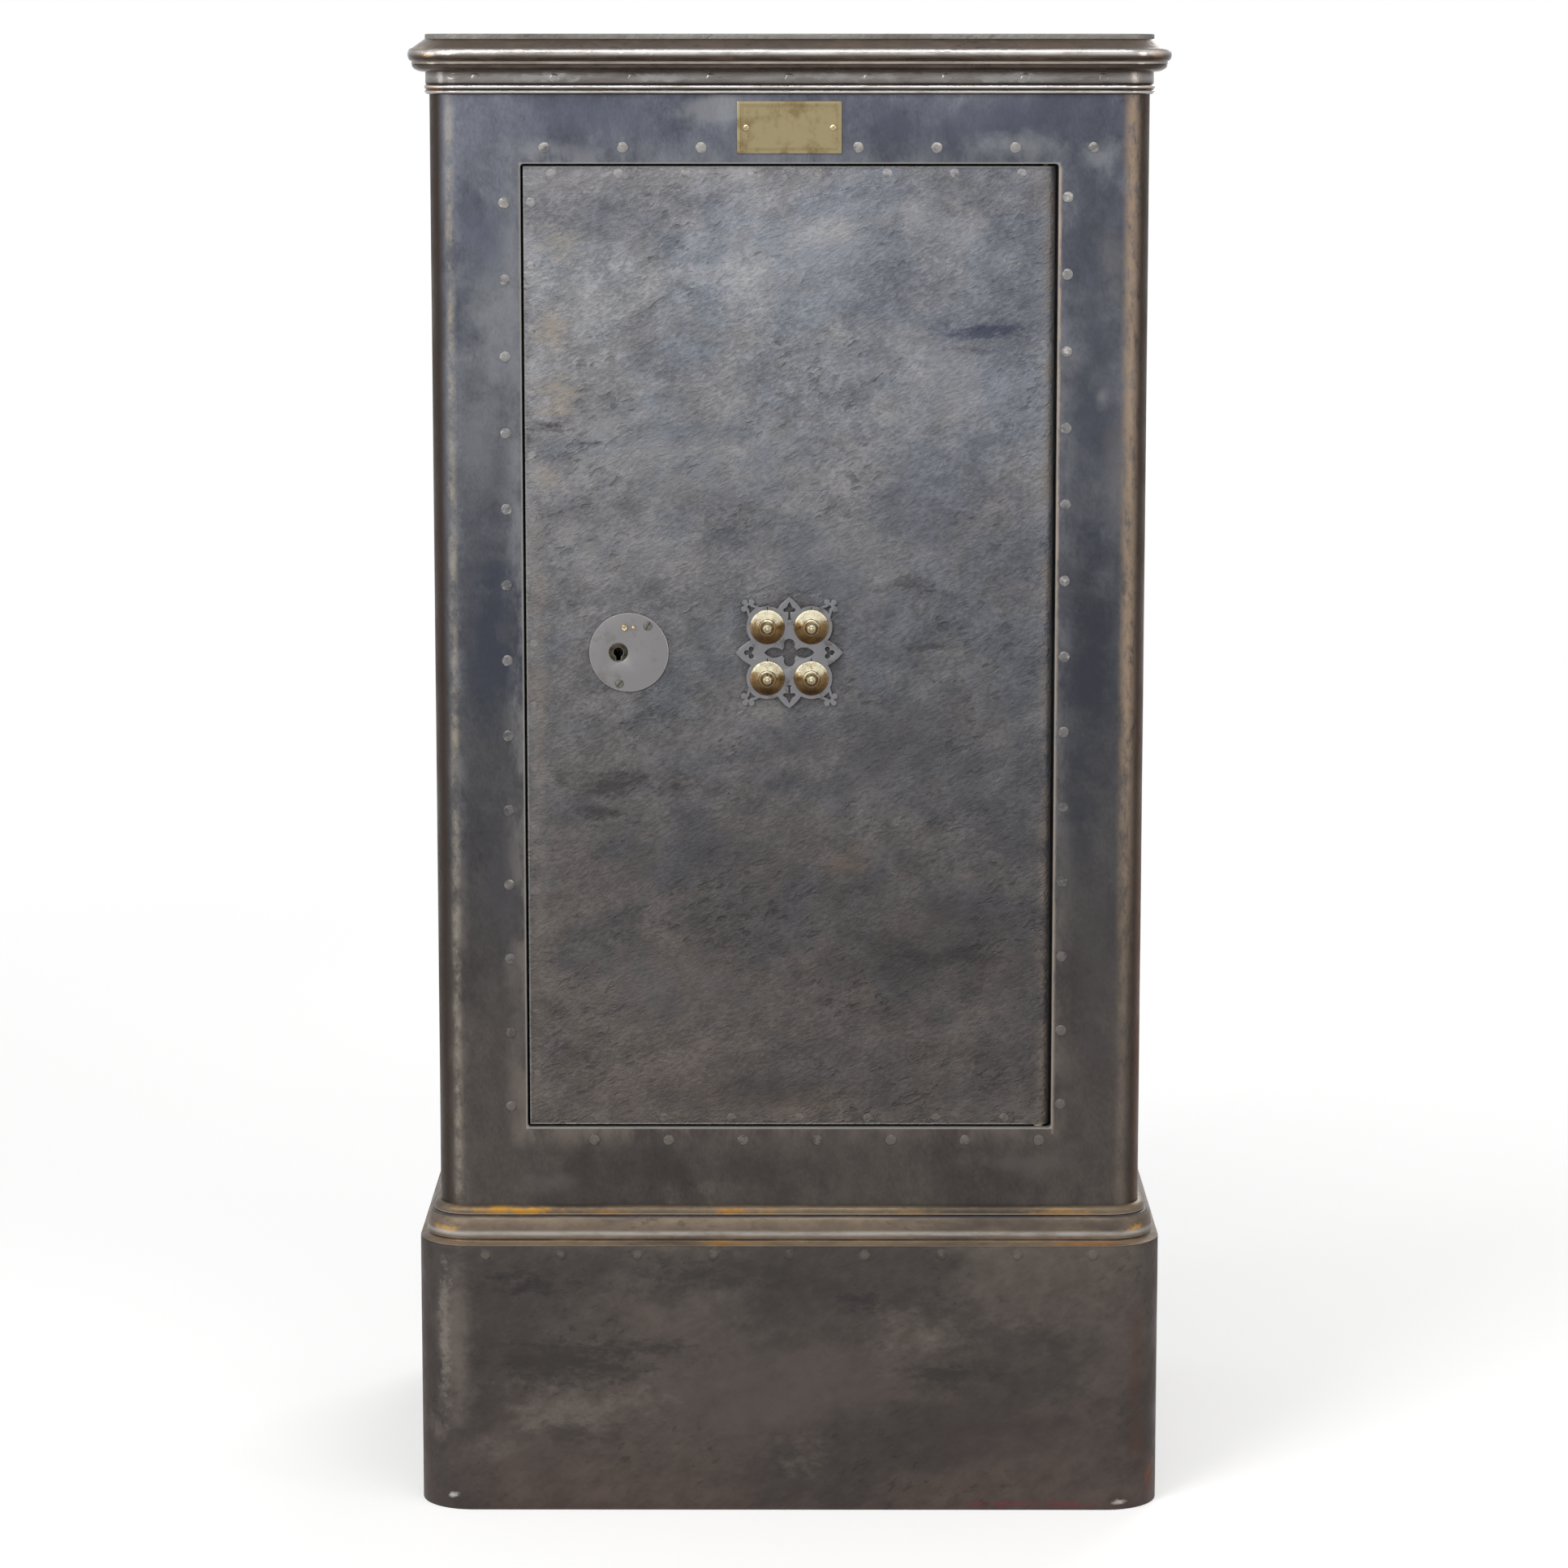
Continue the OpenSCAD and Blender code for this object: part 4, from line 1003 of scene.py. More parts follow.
PLINTH_PATCHES = (
    Patch(-268, 248, 60, 15, SOOT, 0.85),
    Patch(-60, 258, 130, 22, (56, 53, 51), 0.75),
    Patch(-235, 160, 110, 26, (54, 51, 49), 0.80),
    Patch(-150, 176, 60, 14, (56, 53, 51), 0.65),
    Patch(75, 230, 36, 14, SOOT, 0.75),
    Patch(132, 224, 50, 16, (58, 55, 52), 0.70),
    Patch(160, 150, 60, 11, (52, 50, 48), 0.75),
    Patch(230, 190, 60, 24, (60, 56, 54), 0.55),
    Patch(-230, 84, 90, 18, (60, 56, 54), 0.60),
    Patch(-10, 130, 170, 60, (88, 80, 76), 0.50, True),
    Patch(200, 80, 140, 50, (66, 58, 56), 0.50, True),
    Patch(-300, 60, 60, 50, (88, 78, 73), 0.45, True),
    # The next two: painted sheen, a light upright strip where the plinth turns round its left corner.
    Patch(-352, 180, 26, 120, (114, 105, 98), 0.60, True),
    Patch(-364, 200, 7, 90, (136, 128, 120), 0.50),
    Patch(368, 140, 12, 120, (82, 58, 48), 0.55, True),
    Patch(384, 34, 9, 24, (128, 62, 36), 0.75),
    Patch(-357, 15, 6, 4, (200, 198, 194), 0.90),
    Patch(350, 8, 9, 3, (196, 190, 188), 0.90),
    Patch(260, 7, 80, 4, (112, 58, 62), 0.70),
    *(Patch(80.0 * i, 278, 6.5, 6.5, (108, 100, 94), 0.60) for i in range(-4, 5)),
)

FRAME_IRON = FrameIron(
    name="frame_iron",
    heights=(
        (300, (76, 70, 66)), (450, (76, 71, 68)), (650, (72, 70, 70)), (900, (71, 72, 77)),
        (1250, (98, 100, 107)), (1500, (101, 104, 115)),
    ),
    dark=(56, 59, 71),
    worn=(132, 134, 138),
    dark_from=0.46,
    worn_from=0.60,
    dark_part=0.6,
    cloud_size=170.0,
    cloud_stretch=0.7,
    pit_size=2.6,
    pit_depth=0.16,
    mottled=0.14,
    dint_depth=0.12,
    dint_dark=0.10,
    lean=78.0,
    roughness=0.44,
    specular=0.16,
    patches=FRAME_PATCHES,
)
DOOR_IRON = DoorIron(
    name="door_iron",
    # Lighter and cooler toward the top, partly as painted light from the lamps above; darker and browner
    # low down.
    heights=(
        (410, (88, 82, 79)), (560, (86, 81, 80)), (700, (86, 83, 84)), (860, (96, 96, 99)),
        (1100, (118, 119, 124)), (1316, (136, 139, 145)), (1415, (131, 132, 138)),
    ),
    dark=(92, 92, 99),
    worn=(150, 150, 152),
    dark_from=0.47,
    worn_from=0.58,
    dark_part=0.5,
    worn_part=0.3,
    cloud_size=190.0,
    pit_size=3.4,
    pit_depth=0.80,
    speckle=0.19,
    mottled=0.23,
    dint_depth=0.8,
    patches=DOOR_PATCHES,
)
CORNICE_PATCHES = (
    # The next four: painted warm glints at the ends of the nose and the beads, round the corners.
    Patch(-372, 1530, 14, 5, (178, 136, 62), 0.75),
    Patch(-362, 1493, 10, 6, (150, 104, 66), 0.75),
    Patch(376, 1529, 12, 5, (176, 132, 74), 0.65),
    Patch(364, 1494, 9, 6, (140, 100, 70), 0.60),
    Patch(-250, 1505, 46, 5, (188, 186, 184), 0.70),
    Patch(-130, 1504, 30, 4, (180, 178, 176), 0.60),
    Patch(60, 1505, 60, 4, (172, 170, 168), 0.60),
    Patch(230, 1504, 50, 5, (164, 160, 158), 0.60),
)
FOOT_PATCHES = (
    Patch(-290, 321, 60, 5, (172, 124, 44), 0.85),
    Patch(-188, 320, 34, 3, (146, 106, 54), 0.70),
    Patch(-48, 321, 34, 4, (160, 112, 42), 0.80),
    Patch(120, 320, 40, 3, (146, 112, 66), 0.60),
    Patch(284, 320, 46, 4, (154, 112, 56), 0.70),
    # The next two: painted warm glints where the ovolo turns round the corners.
    Patch(-360, 302, 14, 5, (186, 144, 78), 0.80),
    Patch(366, 303, 11, 5, (184, 140, 72), 0.80),
    Patch(-60, 289, 40, 3, (156, 112, 44), 0.65),
    Patch(310, 289, 40, 3, (164, 110, 50), 0.60),
    Patch(-385, 300, 6, 8, (150, 100, 52), 0.60),
)
CORNICE_IRON = MouldingIron(
    name="cornice_iron",
    heights=((1487, (104, 96, 90)), (1512, (96, 86, 80)), (1530, (92, 80, 70)), (1544, (92, 80, 70))),
    dark=(70, 59, 52),
    worn=(150, 146, 142),
    dark_part=0.5,
    cloud_size=60.0,
    cloud_stretch=4.0,
    pit_size=9.0,
    pit_depth=0.16,
    lean=0.0,
    roughness=0.27,
    metallic=0.75,
    specular=0.12,
    patches=CORNICE_PATCHES,
    light_shade_lines=(
        # Painted highlight on the lower bead.
        LightShadeLine(1489.6, 1.9, (206, 202, 198), 0.90),
        # Painted shade in the crease between the beads.
        LightShadeLine(1492.2, 1.3, (44, 37, 35), 0.95),
        # Painted highlight on the upper bead.
        LightShadeLine(1495.2, 2.2, (222, 219, 215), 0.90),
        # Painted shade in the crease at the band's foot.
        LightShadeLine(1498.4, 1.3, (42, 40, 42), 0.95),
        # The band's own pale tone.
        LightShadeLine(1503.9, 6.6, (146, 145, 144), 0.80),
        # Painted shade in the cove.
        LightShadeLine(1513.6, 5.4, (50, 38, 34), 0.92),
        # Painted highlight along the arris above the cove.
        LightShadeLine(1519.4, 1.9, (186, 178, 168), 0.85),
        # Painted highlight on the nose.
        LightShadeLine(1530.0, 4.4, (226, 223, 221), 0.85),
        # Painted shade under the nose.
        LightShadeLine(1523.2, 2.8, (42, 31, 27), 0.95),
    ),
)
FOOT_IRON = MouldingIron(
    name="foot_iron",
    heights=(
        (280, (124, 106, 86)), (291, (124, 106, 86)), (297, (106, 94, 82)), (312, (110, 97, 84)),
        (330, (112, 98, 80)),
    ),
    dark=(80, 69, 60),
    worn=(150, 142, 132),
    dark_part=0.6,
    cloud_size=70.0,
    cloud_stretch=4.0,
    pit_size=9.0,
    pit_depth=0.16,
    lean=0.0,
    roughness=0.42,
    metallic=0.5,
    specular=0.2,
    patches=FOOT_PATCHES,
    light_shade_lines=(
        # Painted highlight along the ledge's front edge.
        LightShadeLine(287.4, 0.7, (160, 150, 136), 0.80),
        # Painted shade in the quirk.
        LightShadeLine(291.9, 2.0, (44, 40, 40), 0.92),
        # Painted highlight on the ovolo.
        LightShadeLine(299.0, 4.2, (176, 172, 167), 0.80),
        # Painted shade at the top of the ovolo, under the foot bead.
        LightShadeLine(316.2, 2.0, (52, 54, 62), 0.85),
        # Painted highlight along the foot bead's lower arris.
        LightShadeLine(318.2, 0.9, (168, 158, 144), 0.75),
    ),
)
PLINTH_IRON = MouldingIron(
    name="plinth_iron",
    heights=((0, (82, 71, 67)), (60, (80, 71, 67)), (160, (79, 72, 68)), (287, (88, 81, 76))),
    dark=(64, 60, 58),
    worn=(112, 106, 101),
    dark_from=0.45,
    worn_from=0.58,
    cloud_size=170.0,
    cloud_stretch=1.6,
    pit_size=9.0,
    pit_depth=0.2,
    roughness=0.5,
    metallic=0.25,
    specular=0.2,
    patches=PLINTH_PATCHES,
    # Dark painted reflection over the plinth's round corners.
    corner=(50, 37, 30),
    corner_x=380.0,
    corner_reflection_part=0.85,
)
TOP_IRON = BurnishedIron(
    name="top_iron",
    heights=((1530, (124, 122, 118)), (1550, (124, 122, 118))),
    dark=(78, 72, 67),
    worn=(164, 162, 158),
    dark_part=0.6,
)
PLAIN_IRON = BurnishedIron(
    name="plain_iron",
    heights=((0, (72, 68, 66)), (800, (82, 80, 80)), (1550, (92, 92, 96))),
    dark=(58, 56, 58),
    worn=(118, 116, 116),
    pit_depth=0.3,
)
RIVET_STEEL = BurnishedIron(
    name="rivet_iron",
    heights=((390, (96, 90, 86)), (700, (100, 97, 97)), (1100, (122, 121, 122)), (1440, (138, 136, 134))),
    dark=(74, 74, 78),
    worn=(200, 196, 188),
    dark_from=0.50,
    worn_from=0.52,
    worn_part=0.7,
    cloud_size=13.0,
    roughness=0.38,
    metallic=0.6,
    pit_size=1.4,
    pit_depth=0.25,
    lean=50.0,
)
FLUSH_IRON = BurnishedIron(
    name="flush_rivet_iron",
    # Lighter toward the top like the door plate, partly as painted light from above.
    heights=((410, (96, 90, 86)), (700, (103, 98, 96)), (1100, (132, 131, 132)), (1415, (144, 143, 144))),
    dark=(86, 83, 82),
    worn=(146, 144, 141),
    worn_part=0.35,
    cloud_size=7.0,
    pit_size=3.0,
    pit_depth=0.4,
    speckle=0.14,
    mottled=0.16,
)
DISC_STEEL = Metal(
    "disc_steel", (130, 128, 129), (116, 113, 112), dull_from=0.50, patch=26.0, roughness=0.40,
    scratch=(1, 1, 7), scratch_depth=0.04, metallic=0.75, specular=0.4,
)
PIERCED_STEEL = Metal(
    "pierced_plate_steel", (124, 124, 127), (96, 93, 92), dull_from=0.50, patch=14.0, roughness=0.36,
    scratch=(5, 1, 2), metallic=0.85, specular=0.4, arris=(206, 204, 200), arris_highlight_part=0.6,
)
SCREW_STEEL = Metal(
    "screw_steel", (112, 108, 100), (84, 79, 73), dull_from=0.50, patch=5.0, roughness=0.40,
    scratch=(1, 1, 5), metallic=0.85, specular=0.4,
)
BARREL_STEEL = Metal("barrel_steel", (78, 72, 62), (48, 44, 38), patch=8.0, roughness=0.42)
WORKS_STEEL = Metal(
    "works_steel", (128, 128, 128), (86, 84, 82), dull_from=0.50, patch=30.0, roughness=0.38,
    scratch=(1, 1, 6),
)
BOLT_STEEL = Metal(
    "bolt_steel", (166, 168, 170), (118, 116, 112), dull_from=0.54, patch=24.0, roughness=0.26,
    scratch=(1, 4, 4), scratch_depth=0.015,
)
PLATE_BRASS = Metal(
    "plate_brass", (155, 142, 108), (121, 107, 76), dull_from=0.48, patch=30.0, roughness=0.36,
    scratch=(3, 1, 3), scratch_depth=0.05, metallic=0.85,
)
STUD_BRASS = Metal("stud_brass", (176, 162, 128), (112, 94, 66), dull_from=0.52, patch=3.0)
SCREW_BRASS = Metal("screw_brass", (176, 160, 128), (92, 76, 56), dull_from=0.54, patch=4.0)
LINING_PAINT = Paint("lining_paint", colour=(78, 88, 82), faded=(94, 104, 96), dark_tone=(58, 60, 54))
# Near-black wax in the index marks; the same black is painted shade under the lock screws.
WAX_AND_SHADE_BLACK = Paint("index_wax_and_screw_shade", (26, 26, 27), (34, 34, 34), (20, 20, 20), roughness=0.7)
FILLING = Packing()


def settle(
    bm: BMesh, name: str, body: str, finish: Finish, stands_for: Sequence[str] = (),
    sharp: float = SHARP,
) -> Object:
    """Turns a mesh in millimetres into a piece of the scene.

    Args:
        bm: The mesh, which is freed.
        name: Name of the piece.
        body: Body that the piece rides on.
        finish: Finish of the whole piece.
        stands_for: CAD nodes that the piece replaces.
        sharp: Angle past which an edge is shown sharp.

    Returns:
        The piece.
    """
    bmesh.ops.scale(bm, vec=(MM, MM, MM), verts=bm.verts)
    mesh = bpy.data.meshes.new(name)
    bm.to_mesh(mesh)
    bm.free()
    mesh.shade_smooth()
    mesh.set_sharp_from_angle(angle=sharp)
    mesh.materials.append(finish.material())
    piece = bpy.data.objects.new(name, mesh)
    bpy.context.scene.collection.objects.link(piece)
    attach(piece, body)
    if stands_for:
        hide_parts(*stands_for)
    log.info("%s rides on %s: %d faces, %s", name, body, len(mesh.polygons), finish.name)
    return piece


def face_out(bm: BMesh) -> None:
    """Turns every face outward."""
    bmesh.ops.recalc_face_normals(bm, faces=bm.faces)


def outward(bm: BMesh, merge: float = MERGE) -> None:
    """Merges doubles and turns every face outward."""
    bmesh.ops.remove_doubles(bm, verts=bm.verts, dist=merge)
    face_out(bm)


def verts_of(geometry: Iterable[BMVert | BMEdge | BMFace]) -> list[BMVert]:
    """The vertices in a mixed list."""
    return [g for g in geometry if isinstance(g, BMVert)]


def ends_of(edges: Iterable[BMEdge]) -> list[BMVert]:
    """The vertices of edges, each once and in a fixed order."""
    return list(dict.fromkeys(v for e in edges for v in e.verts))


def edges_within(verts: Sequence[BMVert]) -> list[BMEdge]:
    """The edges whose two ends are both among the vertices, in a fixed order."""
    near = dict.fromkeys(e for v in verts for e in v.link_edges)
    return [e for e in near if all(v in verts for v in e.verts)]


def chain(bm: BMesh, points: Sequence[tuple[float, float, float]], closed: bool = False) -> list[BMEdge]:
    """Joins points by edges.

    Args:
        bm: Mesh that takes them.
        points: Places in order.
        closed: Whether the last is joined to the first.

    Returns:
        The edges.
    """
    verts = [bm.verts.new(p) for p in points]
    pairs = list(zip(verts, verts[1:])) + ([(verts[-1], verts[0])] if closed else [])
    return [bm.edges.new(pair) for pair in pairs]


def pull(bm: BMesh, edges: Sequence[BMEdge], shift: tuple[float, float, float]) -> list[BMEdge]:
    """Extrudes edges by a shift.

    Args:
        bm: Mesh that holds the edges.
        edges: The edges.
        shift: How far the new ones stand from them.

    Returns:
        The new edges.
    """
    made = verts_of(bmesh.ops.extrude_edge_only(bm, edges=list(edges))["geom"])
    bmesh.ops.translate(bm, vec=shift, verts=made)
    return edges_within(made)


def turn(
    bm: BMesh, edges: Sequence[BMEdge], centre: tuple[float, float], angle: float, steps: int,
) -> list[BMEdge]:
    """Carries edges round an upright axis.

    Args:
        bm: Mesh that holds the edges.
        edges: The edges.
        centre: Place of the axis in plan.
        angle: How far they are carried, in radians.
        steps: Steps in the turn.

    Returns:
        The edges at its end.
    """
    made = bmesh.ops.spin(
        bm, geom=[*ends_of(edges), *edges], cent=(*centre, 0), axis=(0, 0, 1), angle=angle, steps=steps,
        space=Matrix.Identity(4),
    )
    return edges_within(verts_of(made["geom_last"]))


def bevel(bm: BMesh, edges: Sequence[BMEdge], width: float, segments: int) -> list[BMFace]:
    """Rounds edges.

    Args:
        bm: Mesh that holds the edges.
        edges: The edges.
        width: Width taken off each side.
        segments: Steps in the round.

    Returns:
        The faces of the rounds.
    """
    return bmesh.ops.bevel(
        bm, geom=edges, offset=width, offset_type="OFFSET", segments=segments, profile=0.5,
        affect="EDGES", clamp_overlap=True, material=-1,
    )["faces"]


def thicken(bm: BMesh, wall: float) -> None:
    """Gives a wrapped sheet its thickness, on its inner side.

    Args:
        bm: The sheet.
        wall: Thickness of the plate.
    """
    front = min(bm.faces, key=lambda f: f.calc_center_median().y)
    if front.normal.y > 0:
        bmesh.ops.reverse_faces(bm, faces=bm.faces)
    bmesh.ops.solidify(bm, geom=bm.faces[:], thickness=wall)
    face_out(bm)


def ease(bm: BMesh, width: float, segments: int = 2, angle: float = 40.0) -> None:
    """Rounds every edge sharper than an angle in degrees, and marks the rounds as arrises.

    Args:
        bm: Mesh to work on.
        width: Width taken off each side.
        segments: Steps in the round.
        angle: Least angle between the faces.
    """
    limit = math.radians(angle)
    worn = bm.faces.layers.float.new(ARRIS)
    sharp = [e for e in bm.edges if len(e.link_faces) == 2 and e.calc_face_angle(0) > limit]
    for face in bevel(bm, sharp, width, segments):
        face[worn] = 1.0


def cad_copy(node: str) -> BMesh:
    """Copies a CAD node's mesh, merges it and joins its flat faces.

    Args:
        node: Name of the CAD node.

    Returns:
        The mesh in millimetres.
    """
    bm = bmesh.new()
    bm.from_mesh(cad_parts[node].data)
    bmesh.ops.scale(bm, vec=(1 / MM, 1 / MM, 1 / MM), verts=bm.verts)
    bmesh.ops.remove_doubles(bm, verts=bm.verts, dist=MERGE)
    bmesh.ops.dissolve_limit(
        bm, angle_limit=math.radians(0.4), use_dissolve_boundaries=False, verts=bm.verts, edges=bm.edges,
    )
    return bm


def lathe(
    bm: BMesh, profile: Sequence[tuple[float, float]], x: float, y: float, z: float, steps: int,
) -> list[BMVert]:
    """Turns a profile about an axis along y.

    Args:
        bm: Mesh that takes the turned shape.
        profile: Radius and reach toward the viewer of each point.
        x: Place of the axis across.
        y: Place of the profile's zero along the axis.
        z: Height of the axis.
        steps: Steps in the full turn.

    Returns:
        The vertices of the turned shape.
    """
    before = set(bm.verts)
    edges = chain(bm, [(x + r, y - reach, z) for r, reach in profile])
    bmesh.ops.spin(
        bm, geom=[*ends_of(edges), *edges], cent=(x, y, z), axis=(0, 1, 0), angle=math.tau, steps=steps,
        use_merge=True, space=Matrix.Identity(4),
    )
    new = [v for v in bm.verts if v not in before]
    bmesh.ops.remove_doubles(bm, verts=new, dist=0.002)
    return [v for v in bm.verts if v not in before]


def arc(
    cx: float, cy: float, rx: float, ry: float, start: float, end: float, steps: int,
) -> list[tuple[float, float]]:
    """Points of an elliptical arc.

    Args:
        cx: Centre, first coordinate.
        cy: Centre, second coordinate.
        rx: Half axis along the first coordinate.
        ry: Half axis along the second coordinate.
        start: First angle in degrees.
        end: Last angle in degrees.
        steps: Number of steps.

    Returns:
        The points, both ends included.
    """
    angles = [math.radians(start + (end - start) * i / steps) for i in range(steps + 1)]
    return [(cx + rx * math.cos(a), cy + ry * math.sin(a)) for a in angles]


def stops(start: float, end: float, pitch: float, fixed: Sequence[float] = ()) -> list[float]:
    """Spreads places evenly.

    Args:
        start: First place.
        end: Last place.
        pitch: About how far apart they are.
        fixed: Places that they take in.

    Returns:
        The places in order.
    """
    knots = [start, *fixed, end]
    places = [start]
    for low, high in zip(knots, knots[1:]):
        count = max(1, round((high - low) / pitch))
        places += [low + (high - low) * (i + 1) / count for i in range(count)]
    return places


def wavy(place: Vector, span: tuple[float, float, float]) -> float:
    """Slow noise from -1 to 1, with about one wave over each span."""
    return noise.noise(Vector((place.x / span[0], place.y / span[1], place.z / span[2])))


@dataclass(frozen=True)
class Plan:
    """Plan of the body: straight sides, round front corners and a flat front."""

    half: float = SHELL.x1
    front: float = SHELL.y0
    back: float = SHELL.y1
    radius: float = 34.0

    @property
    def corner_x(self) -> float:
        """Centre of the right corner across."""
        return self.half - self.radius

    @property
    def corner_y(self) -> float:
        """Centre of both corners in depth."""
        return self.front + self.radius

    def sweep(
        self, bm: BMesh, section: list[BMEdge], front_stops: Sequence[float],
        side_steps: int = 12, turn_steps: int = 14,
    ) -> list[BMEdge]:
        """Carries a section from the left back edge round the front to the right back edge.

        Args:
            bm: Mesh that holds the section.
            section: Edges of the section.
            front_stops: Places across the front, between the corners' centres.
            side_steps: Steps along each side.
            turn_steps: Steps in each corner.

        Returns:
            The section's edges at the right back edge.
        """
        run = (self.back - self.corner_y) / side_steps
        quarter = math.pi / 2
        edges = section
        for _ in range(side_steps):
            edges = pull(bm, edges, (0, -run, 0))
        edges = turn(bm, edges, (-self.corner_x, self.corner_y), quarter, turn_steps)
        for low, high in zip(front_stops, front_stops[1:]):
            edges = pull(bm, edges, (high - low, 0, 0))
        edges = turn(bm, edges, (self.corner_x, self.corner_y), quarter, turn_steps)
        for _ in range(side_steps):
            edges = pull(bm, edges, (0, run, 0))
        return edges

    def proud(self, place: Vector) -> tuple[float, Vector]:
        """How far a place stands out from the body, and the way back in.

        Args:
            place: The place.

        Returns:
            Distance outside the body's face, and the unit direction inward.
        """
        core_x = max(-self.corner_x, min(self.corner_x, place.x))
        core_y = max(self.corner_y, place.y)
        away = Vector((place.x - core_x, place.y - core_y, 0))
        if away.length < 1e-6:
            return -self.radius, Vector((0, 1, 0))
        return away.length - self.radius, -away.normalized()

    def work_by_hand(self, bm: BMesh, depth: float, reach: float = 1.0, end: float = 6.0) -> None:
        """Gives an outer face slight hollows, none of which stands out from it.

        Args:
            bm: Mesh to work on.
            depth: Deepest hollow.
            reach: Only places that stand out by more than this are moved.
            end: Places nearer than this to the back are left alone.
        """
        for vert in bm.verts:
            out, inward = self.proud(vert.co)
            if out > reach and vert.co.y < self.back - end:
                part = 0.5 + 0.5 * wavy(vert.co, (75, 75, 24))
                vert.co += inward * depth * max(0.0, min(1.0, part))


BODY_PLAN = Plan()
BAND_OUT = 4.0
BAND_MID = 16.5
ROW_ENDS = (-320.0, 320.0)
ROW_COUNT = 9


@dataclass
class RivetRow:
    """Rivets with flattened heads in one line on a face toward the viewer.

    Attributes:
        first: Place across and height of the first rivet.
        last: The same of the last.
        count: Number of places in the row.
        face_y: Depth of the face.
        radius: Radius of a head.
        height: How far a head stands out.
        skip: Places of the row that have no rivet.
        sides: Steps round a head.
        root: How far a head reaches into the face.
        form: Share of the radius and of the height at each point, from the rim to the middle.
        ragged: How far a head's rim is drawn in at most.
        flat: How far a head's high side is beaten down.
    """

    first: tuple[float, float]
    last: tuple[float, float]
    count: int
    face_y: float
    radius: float
    height: float
    skip: tuple[int, ...] = ()
    sides: int = 12
    root: float = 0.4
    form: tuple[tuple[float, float], ...] = ((1.0, 0.25), (0.9, 0.72), (0.6, 0.95), (0.0, 1.0))
    ragged: float = 0.16
    flat: float = 0.25

    def head(self, bm: BMesh, x: float, z: float) -> None:
        """Makes one head, tipped and flattened in its own way.

        Args:
            bm: Mesh that takes the head.
            x: Place across.
            z: Height.
        """
        rim = (self.radius, -self.root)
        profile = [rim, *((self.radius * r, self.height * h) for r, h in self.form)]
        tilt = noise.noise(Vector((x / 13, z / 17, 1.5)))
        for vert in lathe(bm, profile, x, self.face_y, z, self.sides):
            dent = abs(noise.noise(Vector((vert.co.x / 5, vert.co.z / 5, 2.5))))
            vert.co.x += (x - vert.co.x) * self.ragged * dent
            vert.co.z += (z - vert.co.z) * self.ragged * dent
            if vert.co.y < self.face_y - self.height / 2:
                side = (vert.co.x - x + vert.co.z - z) / self.radius
                vert.co.y += self.height * self.flat * max(0.0, side * (0.6 + tilt))

    def hammer(self, bm: BMesh) -> None:
        """Makes the heads of the row.

        Args:
            bm: Mesh that takes the heads.
        """
        for i in range(self.count):
            if i not in self.skip:
                part = i / (self.count - 1)
                x = self.first[0] + (self.last[0] - self.first[0]) * part
                z = self.first[1] + (self.last[1] - self.first[1]) * part
                self.head(bm, x, z)


def heads_of(rows: Sequence[RivetRow]) -> BMesh:
    """Makes the heads of several rows.

    Args:
        rows: The rows.

    Returns:
        The mesh of all the heads.
    """
    bm = bmesh.new()
    for row in rows:
        row.hammer(bm)
    face_out(bm)
    return bm


@dataclass(frozen=True)
class Fitting:
    """A plain fitting whose CAD form is right: its edges are eased and it gets a finish."""

    node: str
    name: str
    finish: Finish
    slot: Slot
    width: float = 0.6
    segments: int = 2
    angle: float = 40.0

    def dress(self, body: str) -> None:
        """Copies the node, eases its edges and finishes it.

        Args:
            body: Body that the fitting rides on.
        """
        bm = cad_copy(self.node)
        ease(bm, self.width, self.segments, self.angle)
        settle(bm, self.name, body, self.finish, [self.node])


